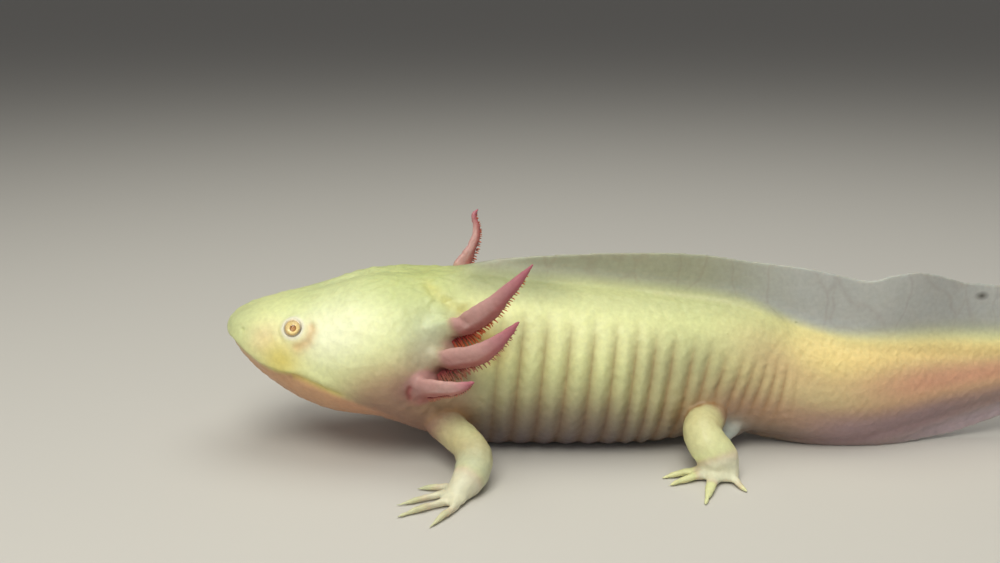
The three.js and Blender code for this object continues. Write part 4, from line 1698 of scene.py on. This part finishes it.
        # deep is painted shade in the folds between the ribs, laid over their relief
        deep = (0.5 * body.groove(ring, 1.9) + 0.22 * body.groove(ring, 8.0)) * flank * (1 - 0.35 * hip)
        return {
            # painted highlight: a lighter band along the upper flank, where the light from above falls
            "upper": 0.8 * span(58, 74, 122, 140, x) * hump(rise - 0.76, 0.16) * (
                1 - 0.6 * smooth_step(92, 112, x)
            ),
            # painted shade: the top of the trunk darker, most of all behind the gills
            "back": span(52, 64, 122, 140, x) * smooth_step(0.86, 1.0, rise) * (
                0.92 - 0.45 * smooth_step(76, 90, x)
            ),
            "hip": 0.6 * span(92, 106, 116, 128, x) * hump(rise - 0.6, 0.2),
            "groove": deep,
            "low_groove_shade": deep * smooth_step(0.5, 0.2, rise) * (1 - 0.85 * hip),
            "hip_groove_shade": 0.8 * deep * hip,
        }

    def _tail_tones(self, points: np.ndarray, rise: np.ndarray) -> dict[str, np.ndarray]:
        """Tones of the tail's muscle and of its fins.

        Args:
            points: Corners in millimetres.
            rise: Share of the body's height.

        Returns:
            Values from 0 to 1 by name.
        """
        x, y, z = points.T
        above = z - self.body.top(x)
        on_tail = smooth_step(122, 142, x)
        thin = np.abs(y - self.body.tail_curve(x)) < 5
        soft = 3.4 + 0.8 * on_tail + 4 * smooth_step(146, 176, x)
        upper_fin = smooth_step(-0.4 + on_tail, soft, above) * smooth_step(55, 66, x) * thin
        lower_fin = smooth_step(-0.5, 3.0, self.body.bottom(x) - z) * smooth_step(128, 138, x) * thin
        rim = hump(BACK_FIN.edge(x) - z, 0.4) * upper_fin
        rim += hump(z - BELLY_FIN.edge(x), 0.4) * lower_fin * (x > 165)
        return {
            "rump": smooth_step(98, 128, x) * smooth_step(0.66, 0.3, rise) * (
                0.3 + 0.55 * smooth_step(0.05, 0.28, rise)
            ),
            "sand": smooth_step(114, 138, x) * hump(rise - 0.67, 0.28),
            "band": on_tail * smooth_step(128, 150, x) * hump(
                rise - 0.88 - 0.06 * smooth_step(150, 175, x), 0.2
            ),
            "salmon": smooth_step(146, 174, x) * hump(rise - 0.6, 0.24),
            "keel": smooth_step(134, 156, x) * smooth_step(0.46, 0.16, rise) * (
                1 - 0.45 * smooth_step(174, 192, x)
            ),
            "edge": 0.4 * hump(above - 0.3, 0.4) * span(98, 112, 124, 138, x) * thin,
            "fin": np.maximum(upper_fin, 0.25 * lower_fin),
            "tail_fin": 0.9 * upper_fin * smooth_step(112, 146, x),
            "keel_fin": 0.75 * lower_fin * smooth_step(158, 184, x),
            "rim": rim * 0.45,
        }

    def _limb_tones(self, points: np.ndarray) -> dict[str, np.ndarray]:
        """Tones of the limbs, with the two pale tones that the head shares with them.

        Args:
            points: Corners in millimetres.

        Returns:
            Values from 0 to 1 by name.
        """
        x, _, z = points.T
        limb, out, fold = self._limb_share(points)
        # painted shade on the underside of the upper arm and on the root of the thigh
        arm_shade = 0.75 * smooth_step(13.5, 9.5, z) * (1 - 0.7 * smooth_step(0.5, 0.9, out))
        thigh = 0.45 * (1 - smooth_step(0.35, 0.75, out))
        return {
            "limb": limb,
            "upper_arm": limb * np.where(x < 90, arm_shade, thigh),
            # painted shadow in the crease where each limb leaves the body
            "limb_fold_shade": 0.75 * fold,
            "wrist": 0.55 * limb * hump(out - 0.98, 0.1),
            "blue": np.maximum.reduce([
                0.6 * PALE_NAPE.rise(points),
                # tops of hands and feet: pale bluish tone, partly a painted highlight
                0.35 * limb * smooth_step(0.9, 1.1, out) * (z > 0.6),
                0.5 * limb * hump(out - 0.74, 0.2) * (x < 90),
            ]),
            "ring": np.maximum(self._eye_ring(points), 0.5 * limb * smooth_step(0.86, 1.1, out)),
        }

    def _gill_tones(self, points: np.ndarray) -> dict[str, np.ndarray]:
        """Tones of the gill stalks and of the slits before them.

        Args:
            points: Corners in millimetres.

        Returns:
            Values from 0 to 1 by name.
        """
        x, _, z = points.T
        gill, out, front = self._gill_share(points)
        return {
            "gill": gill,
            "gill_pale": gill * np.maximum.reduce([
                0.2 * (1 - smooth_step(0.15, 0.45, out)),
                0.35 * front,
                0.5 * hump(front - 0.5, 0.25) * hump(out - 0.45, 0.25),
                0.45 * (x < 62.5) * (z < 27.5) * smooth_step(0.25, 0.5, out) * (out < 0.9),
            ]),
            "gill_red": gill * 0.6 * (1 - smooth_step(0.0, 0.35, front)),
            "gill_tip": gill * smooth_step(0.62, 1.0, out) * 0.75,
            "slit": self._slit(points),
        }

    def _eye_ring(self, points: np.ndarray) -> np.ndarray:
        """Share of the pale clear skin that rings each eye.

        Args:
            points: Corners in millimetres.

        Returns:
            Values from 0 to 1.
        """
        total = np.zeros(len(points))
        for side in Side:
            offset = points - self.eye.centre(self.body, side)
            height = offset @ self.eye.facing(side)
            across = np.sqrt(np.maximum((offset**2).sum(1) - height**2, 0))
            total += 0.85 * hump(np.maximum(across - 2.5, 0), 0.4) * (height > -1)
        return total

    @staticmethod
    def _gill_share(points: np.ndarray) -> tuple[np.ndarray, np.ndarray, np.ndarray]:
        """Finds the corners that lie on the gills.

        Args:
            points: Corners in millimetres.

        Returns:
            Share of gill, place along it from 0 to 1, and share of its pale front edge.
        """
        share, out, pale = (np.zeros(len(points)) for _ in range(3))
        near = (points[:, 0] > 42) & (points[:, 0] < 80) & (np.abs(points[:, 1]) > 9)
        spots = points[near]
        for gill in GILLS:
            places = np.linspace(0, 1, 90)
            centres, _, _, wide = gill.line.at(places)
            radius = evenly(gill.radii)(places)
            gap = np.linalg.norm(spots[:, None] - centres[None], axis=2)
            nearest = np.argmin(gap / (radius + 0.4), axis=1)
            ratio = gap[np.arange(len(spots)), nearest] / radius[nearest]
            start, full = (0.02, 0.18) if gill.level == "bottom" else (0.13, 0.3)
            found = (1 - smooth_step(1.15, 1.6, ratio)) * smooth_step(start, full, places[nearest])
            front = wide[nearest] * -np.sign(wide[nearest][:, :1] - 0.6 * wide[nearest][:, 2:])
            lean = ((spots - centres[nearest]) * front).sum(1) / radius[nearest]
            better = found > share[near]
            index = np.flatnonzero(near)[better]
            share[index], out[index] = found[better], places[nearest][better]
            pale[index] = smooth_step(-0.5, 0.7, lean[better])
        return share, out, pale

    def _limb_share(self, points: np.ndarray) -> tuple[np.ndarray, np.ndarray, np.ndarray]:
        """Finds the corners that lie on the limbs.

        Args:
            points: Corners in millimetres.

        Returns:
            Share of limb, place along it, past 1 on hand or foot, and nearness to the fold of its root.
        """
        share, out, fold = (np.zeros(len(points)) for _ in range(3))
        near = (points[:, 2] < 18) & (np.abs(points[:, 1]) > 8)
        spots = points[near]
        clear = np.abs(spots[:, 1]) - self.body.offset(spots[:, 0], spots[:, 2])
        for limb in LIMBS:
            places = np.linspace(0, 1, 60)
            centres = limb.line.at(places)[0]
            palm = np.array(limb.place(limb.palm))
            radius = np.append(evenly(limb.radii)(places), 6.0)
            gap = np.linalg.norm(spots[:, None] - np.vstack([centres, palm])[None], axis=2)
            ratio = (gap / radius).min(axis=1)
            from_palm = distance_to(spots, palm)
            place = places[np.argmin(gap[:, :-1] / radius[:-1], axis=1)]
            place = place + (1.12 - place) * (1 - smooth_step(3.5, 9.0, from_palm))
            full = 0.5 if palm[0] < 90 else 0.3
            found = (1 - smooth_step(1.08, 1.3, ratio)) * smooth_step(0.16, full, place)
            hand = (from_palm < 16) & (spots[:, 2] < 3.5)
            found = np.maximum(found, hand * 1.0)
            found = found * smooth_step(0.1, 1.3, clear)
            better = found > share[near]
            index = np.flatnonzero(near)[better]
            share[index], out[index] = found[better], place[better]
            # nearness to the crease at the limb's root, which gets painted shadow
            distance = distance_to(spots, limb.place(limb.chain[2]))
            at_root = hump(clear - 0.4, 0.6) * (1 - smooth_step(4.5, 8.5, distance))
            fold[near] = np.maximum(fold[near], at_root)
        return share, out, fold

    @staticmethod
    def _slit(points: np.ndarray) -> np.ndarray:
        """Dark red inside of the gill slits."""
        pits = [-slit.rise(points) / abs(slit.height) for slit in GILL_SLITS]
        low = 0.6 * LOW_SLIT.closeness(points, 1.5) * (np.abs(points[:, 1]) > 14)
        return np.maximum.reduce([*pits, low])


FLESH_NODES = (
    "head", "torso", "tail_base", "tail_tip", "fin_back", "fin_tail_top", "fin_tail_bottom",
    *(f"gill_{side}_{level}" for side in ("left", "right") for level in ("bottom", "middle", "top")),
    *(
        f"{part}_{side}" for side in ("left", "right")
        for part in ("upper_arm", "forearm", "hand", "thigh", "shank", "foot")
    ),
)


# ---- Gill filaments ---------------------------------------------------------------


@dataclass
class Filaments:
    """Combs of soft filaments along the rear edge of every gill."""

    body: BodyForm
    placement: Placement
    rows: tuple[float, ...] = (-0.9, 0.0, 0.9)
    first: Mapping[str, float] = field(  # place of the first ones along the stalk
        default_factory=lambda: {"bottom": 0.2, "middle": 0.04, "top": 0.08}
    )
    shorter: Mapping[str, float] = field(  # length as a share of the reach
        default_factory=lambda: {"bottom": 0.1, "middle": 1.0, "top": 0.85}
    )
    per_row: Mapping[Side, int] = field(default_factory=lambda: {Side.LEFT: 23, Side.RIGHT: 18})
    reach: Profile = Profile(((0, 2.3), (0.2, 2.4), (0.32, 1.1), (0.5, 0.6), (1, 0.3)))
    girth: Profile = Profile(((0, 0.22), (0.4, 0.17), (1, 0.12)))
    right_share: float = 0.45  # those of the right gills lie flat and are shorter
    sides: int = 5
    joints: int = 5
    bend: float = 0.22
    tip: float = 0.3  # girth at the tip as a share of that at the root
    seed: int = 11
    finish: GillThread = field(default_factory=GillThread)
    duller: GillThread = field(default_factory=lambda: GillThread("#86303A", "#B8806A"))

    def build(self) -> list[bpy.types.Object]:
        """Makes the filaments of each gill as one piece.

        Returns:
            The pieces.
        """
        tree = self._tree()
        bright = self.finish.build("blood_filled_gill_filament")
        dull = self.duller.build("lean_gill_filament")
        pieces = []
        for number, gill in enumerate(GILLS):
            material = bright if gill.level == "top" else dull
            piece = self._comb(tree, material, gill, self.seed + number)
            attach(piece, "root")
            LOG.info("%s: %d faces", piece.name, len(piece.data.polygons))
            pieces.append(piece)
        return pieces

    def _comb(
        self, tree: Tree, material: bpy.types.Material, gill: GillForm, seed: int
    ) -> bpy.types.Object:
        """Makes the filaments of one gill.

        Args:
            tree: Geometry nodes that grow a filament on each root.
            material: Finish of the filaments.
            gill: The gill that carries them.
            seed: Start of the random draws.

        Returns:
            One plain mesh object.
        """
        name = f"filaments_{gill.side.name.lower()}_{gill.level}"
        roots, *values = self._roots(gill, np.random.default_rng(seed))
        mesh = bpy.data.meshes.new(name)
        mesh.from_pydata(self.placement.metres(roots).tolist(), [], [])
        for key, rows in zip(("aim", "lean", "reach", "girth"), values):
            store(mesh, key, rows)
        carrier = placed(name, mesh)
        modifier = carrier.modifiers.new("filaments", "NODES")
        modifier.node_group = tree
        named = (item for item in tree.interface.items_tree if item.item_type == "SOCKET")
        sockets = {item.name: item.identifier for item in named}
        for key, value in (
            ("Sides", self.sides), ("Joints", self.joints), ("Bend", self.bend), ("Tip", self.tip),
            ("Finish", material),
        ):
            modifier[sockets[key]] = value
        plain = plain_mesh(carrier)
        plain.name = name
        plain.shade_smooth()
        return placed(name, plain)

    def _roots(
        self, gill: GillForm, draw: np.random.Generator
    ) -> tuple[np.ndarray, np.ndarray, np.ndarray, np.ndarray, np.ndarray]:
        """Places the roots of the filaments of one gill.

        Args:
            gill: The gill that carries them.
            draw: Seeded random numbers.

        Returns:
            Roots in millimetres, directions, directions of their bend, lengths and radii in metres.
        """
        count = self.per_row[gill.side]
        step, row = np.meshgrid(np.arange(count), np.array(self.rows), indexing="ij")
        share = ((step + 0.5 + 0.4 * row + draw.uniform(-0.2, 0.2, step.shape)) / count).clip(0, 1) ** 1.3
        share, row = share.ravel(), row.ravel()
        places = self.first[gill.level] + (0.93 - self.first[gill.level]) * share
        centres, along, thin, wide = gill.line.at(places)
        rear = np.sign(wide[:, :1] - 0.6 * wide[:, 2:]) * wide
        radius = evenly(gill.radii)(places)[:, None]
        roots = centres + rear * radius * 0.8 + thin * row[:, None] * radius * 0.25
        skin = self.body.offset(roots[:, 0], roots[:, 2])
        roots[:, 1] = gill.side.value * np.maximum(np.abs(roots[:, 1]), skin)
        aims = unit(rear + thin * row[:, None] * 0.45 + along * 0.3 + draw.normal(0, 0.09, roots.shape))
        side_share = self.right_share if gill.side is Side.RIGHT else 1.0
        length = self.reach(share) * self.shorter[gill.level] * side_share
        length = length * draw.uniform(0.75, 1.15, length.shape) + radius[:, 0] * 0.25
        return roots, aims, along, length * METRES, self.girth(share) * METRES

    @staticmethod
    def _tree() -> Tree:
        """Geometry nodes that grow one tapered, bent filament on each point.

        Returns:
            The node group.
        """
        tree = bpy.data.node_groups.new("grow_filaments", "GeometryNodeTree")
        face = tree.interface
        face.new_socket("Roots", in_out="INPUT", socket_type="NodeSocketGeometry")
        for name, kind in (
            ("Sides", "NodeSocketInt"), ("Joints", "NodeSocketInt"), ("Bend", "NodeSocketFloat"),
            ("Tip", "NodeSocketFloat"), ("Finish", "NodeSocketMaterial"),
        ):
            face.new_socket(name, in_out="INPUT", socket_type=kind)
        face.new_socket("Filaments", in_out="OUTPUT", socket_type="NodeSocketGeometry")
        given = add_node(tree, "NodeGroupInput").outputs
        line = made(tree, "GeometryNodeCurvePrimitiveLine", "Curve", {"End": (0, 0, 1)})
        line = made(tree, "GeometryNodeResampleCurve", "Curve", {"Curve": line, "Count": given["Joints"]})
        share = made(tree, "GeometryNodeSplineParameter", "Factor")
        square = combined(tree, "MULTIPLY", share, share)
        bend = combined(tree, "MULTIPLY", square, given["Bend"])
        offset = made(tree, "ShaderNodeCombineXYZ", "Vector", {"X": bend})
        line = made(tree, "GeometryNodeSetPosition", 0, {"Geometry": line, "Offset": offset})
        taper = spread(tree, square, 1.0, given["Tip"], (0.0, 1.0))
        line = made(tree, "GeometryNodeSetCurveRadius", "Curve", {"Curve": line, "Radius": taper})
        inputs = {"Geometry": line, "Name": "reach_share", "Value": share}
        line = made(
            tree, "GeometryNodeStoreNamedAttribute", "Geometry", inputs, data_type="FLOAT", domain="POINT"
        )
        inputs = {"Resolution": given["Sides"], "Radius": 1.0}
        ring = made(tree, "GeometryNodeCurvePrimitiveCircle", "Curve", inputs)
        inputs = {"Curve": line, "Profile Curve": ring, "Fill Caps": True}
        thread = made(tree, "GeometryNodeCurveToMesh", "Mesh", inputs)
        kinds = {"aim": "FLOAT_VECTOR", "lean": "FLOAT_VECTOR", "reach": "FLOAT", "girth": "FLOAT"}
        aim, lean, reach, girth = (
            made(tree, "GeometryNodeInputNamedAttribute", "Attribute", {"Name": name}, data_type=kind)
            for name, kind in kinds.items()
        )
        inputs = {"Primary Axis": aim, "Secondary Axis": lean}
        turn = made(
            tree, "FunctionNodeAxesToRotation", "Rotation", inputs, primary_axis="Z", secondary_axis="X"
        )
        size = made(tree, "ShaderNodeCombineXYZ", "Vector", {"X": girth, "Y": girth, "Z": reach})
        inputs = {"Points": given["Roots"], "Instance": thread, "Rotation": turn, "Scale": size}
        grown = made(tree, "GeometryNodeInstanceOnPoints", "Instances", inputs)
        real = made(tree, "GeometryNodeRealizeInstances", "Geometry", {"Geometry": grown})
        inputs = {"Geometry": real, "Material": given["Finish"]}
        dressed = made(tree, "GeometryNodeSetMaterial", "Geometry", inputs)
        add_node(tree, "NodeGroupOutput", inputs={0: dressed})
        return tree


# ---- Eyes -------------------------------------------------------------------------


@dataclass
class Eye:
    """One eye: a ball with a sunken iris, and the clear dome over it."""

    form: EyeForm
    body: BodyForm
    placement: Placement
    side: Side
    sides: int = 64
    clearance: float = 0.04  # between the ball and the dome
    sunk: float = 0.42  # depth of the iris beside the pupil

    def build(self, tissue: bpy.types.Material, cornea: bpy.types.Material) -> list[bpy.types.Object]:
        """Makes the ball and its dome.

        Args:
            tissue: Finish of the ball.
            cornea: Finish of the dome.

        Returns:
            The ball and the dome.
        """
        name = self.side.name.lower()
        iris, pupil, outer = self.form.iris_radius, self.form.pupil_radius, self.form.radius
        inner = outer - self.clearance
        rim = iris + 0.15
        edge = math.sqrt(inner**2 - rim**2)
        floor = edge - self.sunk
        outline = [(pupil * 0.5, floor - 0.24), (pupil * 0.9, floor - 0.18), (pupil, floor)]
        outline += [
            (radius, floor + 0.39 * ((radius - pupil) / (iris - pupil)) ** 1.5)
            for radius in np.linspace(pupil + 0.1, iris, 9)
        ]
        outline += [(iris + 0.08, edge - 0.02)]
        outline += self._arc(inner, math.asin(rim / inner), 26)
        ball = self._turned(f"eyeball_{name}", outline, floor - 0.26, -inner)
        dome = self._turned(f"cornea_{name}", self._arc(outer, 0.1, 30), outer, -outer)
        for piece, material in ((ball, tissue), (dome, cornea)):
            piece.data.materials.append(material)
            piece.data.shade_smooth()
            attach(piece, "root")
            LOG.info("%s: %d faces", piece.name, len(piece.data.polygons))
        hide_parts(f"eye_{name}")
        return [ball, dome]

    @staticmethod
    def _arc(radius: float, start: float, count: int) -> list[tuple[float, float]]:
        """Part of a circle round the eye's middle, from an angle off its axis nearly to the back."""
        angles = np.linspace(start, math.pi - 0.1, count)
        return [(radius * math.sin(angle), radius * math.cos(angle)) for angle in angles]

    def _turned(
        self, name: str, outline: Sequence[tuple[float, float]], start: float, end: float
    ) -> bpy.types.Object:
        """Turns an outline round the eye's axis.

        Args:
            name: The piece's name.
            outline: Distances from the axis and heights along it.
            start: Height of the pole in front.
            end: Height of the pole behind.

        Returns:
            The closed piece.
        """
        centre, facing = self.form.centre(self.body, self.side), self.form.facing(self.side)
        upward = np.array([0, 0, 1.0]) - facing * facing[2]
        upward /= np.linalg.norm(upward)
        sideways = np.cross(facing, upward)
        turn = np.linspace(0, 2 * np.pi, self.sides, endpoint=False)
        spokes = np.cos(turn)[:, None] * upward + np.sin(turn)[:, None] * sideways
        radius, height = np.array(outline).T[:, :, None, None]
        rings = radius * spokes + height * facing
        shell = Shell.loft(rings[::-1] + centre, centre + end * facing, centre + start * facing)
        local = shell.points - centre
        shell.points = self.placement.metres(shell.points)
        mesh = shell.to_mesh(name)
        height = local @ facing
        flat = np.stack([local @ upward, local @ sideways], 1)
        distance = np.where(height > 0, np.linalg.norm(flat, axis=1), self.form.radius)
        angle = np.arctan2(flat[:, 1], flat[:, 0])
        fibre = np.stack([np.cos(angle), np.sin(angle), distance * 0.25], 1)
        store(mesh, "axis_distance", distance)
        store(mesh, "iris_place", fibre)
        return placed(name, mesh)


# ---- Studio -----------------------------------------------------------------------


@dataclass
class Studio:
    """Plain pale floor, soft lights and the camera."""

    placement: Placement
    camera_at: tuple[float, float, float] = (68.3, -265.7, 112.6)
    camera_down: float = 15.0  # degrees below level
    focal_pixels: float = 1123.0
    sensor: float = 36.0
    lights: tuple[tuple[str, Sequence[float], Sequence[float], float, float, str], ...] = (
        # name, place and aim in millimetres, width in metres, power in watts, colour
        ("key", (-40, -400, 600), (70, 0, 20), 0.45, 3.2, "#FFFDF0"),
        ("overhead", (130, 40, 660), (115, 0, 10), 0.6, 2.0, "#FFFEF4"),
        ("front", (-260, -300, 110), (20, 0, 25), 0.4, 0.42, "#FFFDF4"),
        ("fill", (330, -520, 200), (110, 0, 20), 0.6, 0.25, "#EDF0FF"),
    )
    world_tone: str = "#F2F1EE"
    world_strength: float = 0.15
    floor_half: float = 12.0  # metres
    floor_drop: float = 0.05  # millimetres under the animal's lowest point

    def build(self) -> None:
        """Sets the floor, the lights and the camera."""
        self._floor()
        for light in self.lights:
            self._light(*light)
        world = bpy.data.worlds.new("studio")
        world.use_nodes = True
        background = world.node_tree.nodes["Background"].inputs
        background["Color"].default_value = linear(self.world_tone)
        background["Strength"].default_value = self.world_strength
        bpy.context.scene.world = world
        view = bpy.context.scene.view_settings
        view.view_transform = "Standard"
        view.look = "None"
        self._camera()

    def _floor(self) -> None:
        """Lays the floor just under the animal."""
        mesh = bpy.data.meshes.new("floor")
        half, drop = self.floor_half, -self.floor_drop * METRES
        square = ((-half, -half), (half, -half), (half, half), (-half, half))
        mesh.from_pydata([(x, y, drop) for x, y in square], [], [(0, 1, 2, 3)])
        mesh.materials.append(StudioPaper().build())
        placed("floor", mesh)

    def _light(
        self, name: str, spot: Sequence[float], aim: Sequence[float], size: float, power: float, tone: str
    ) -> None:
        """Hangs one soft light.

        Args:
            name: Its name.
            spot: Its place in the animal's millimetres.
            aim: What it points at.
            size: Its width in metres.
            power: Its power in watts.
            tone: Its colour.
        """
        data = bpy.data.lights.new(name, "AREA")
        data.shape = "DISK"
        data.size = size
        data.energy = power
        data.color = linear(tone)[:3]
        light = placed(name, data)
        here, there = (Vector(self.placement.metres(point)) for point in (spot, aim))
        light.location = here
        light.rotation_euler = (there - here).to_track_quat("-Z", "Y").to_euler()

    def _camera(self) -> None:
        """Stands the camera level with its long side, looking a little down."""
        data = bpy.data.cameras.new("camera")
        data.sensor_width = self.sensor
        data.lens = self.sensor * self.focal_pixels / IMAGE_WIDTH
        data.clip_start = 0.01
        camera = placed("camera", data)
        camera.location = Vector(self.placement.metres(self.camera_at))
        camera.rotation_euler = (math.radians(90 - self.camera_down), 0, 0)
        bpy.context.scene.camera = camera


def main() -> None:
    """Builds the animal piece by piece, and the studio round it."""
    logging.basicConfig(level=logging.INFO, format="%(name)s: %(message)s")
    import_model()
    body, eye = BodyForm(), EyeForm()
    placement = Placement.from_eyes(body, eye)
    LOG.info("placed by %s mm", tuple(round(value, 2) for value in placement.shift))
    Skin(body, eye, placement).build()
    Filaments(body, placement).build()
    tissue, cornea = EyeTissue().build(), Cornea().build()
    for side in Side:
        Eye(eye, body, placement, side).build(tissue, cornea)
    Studio(placement).build()


if __name__ == "__main__":
    main()
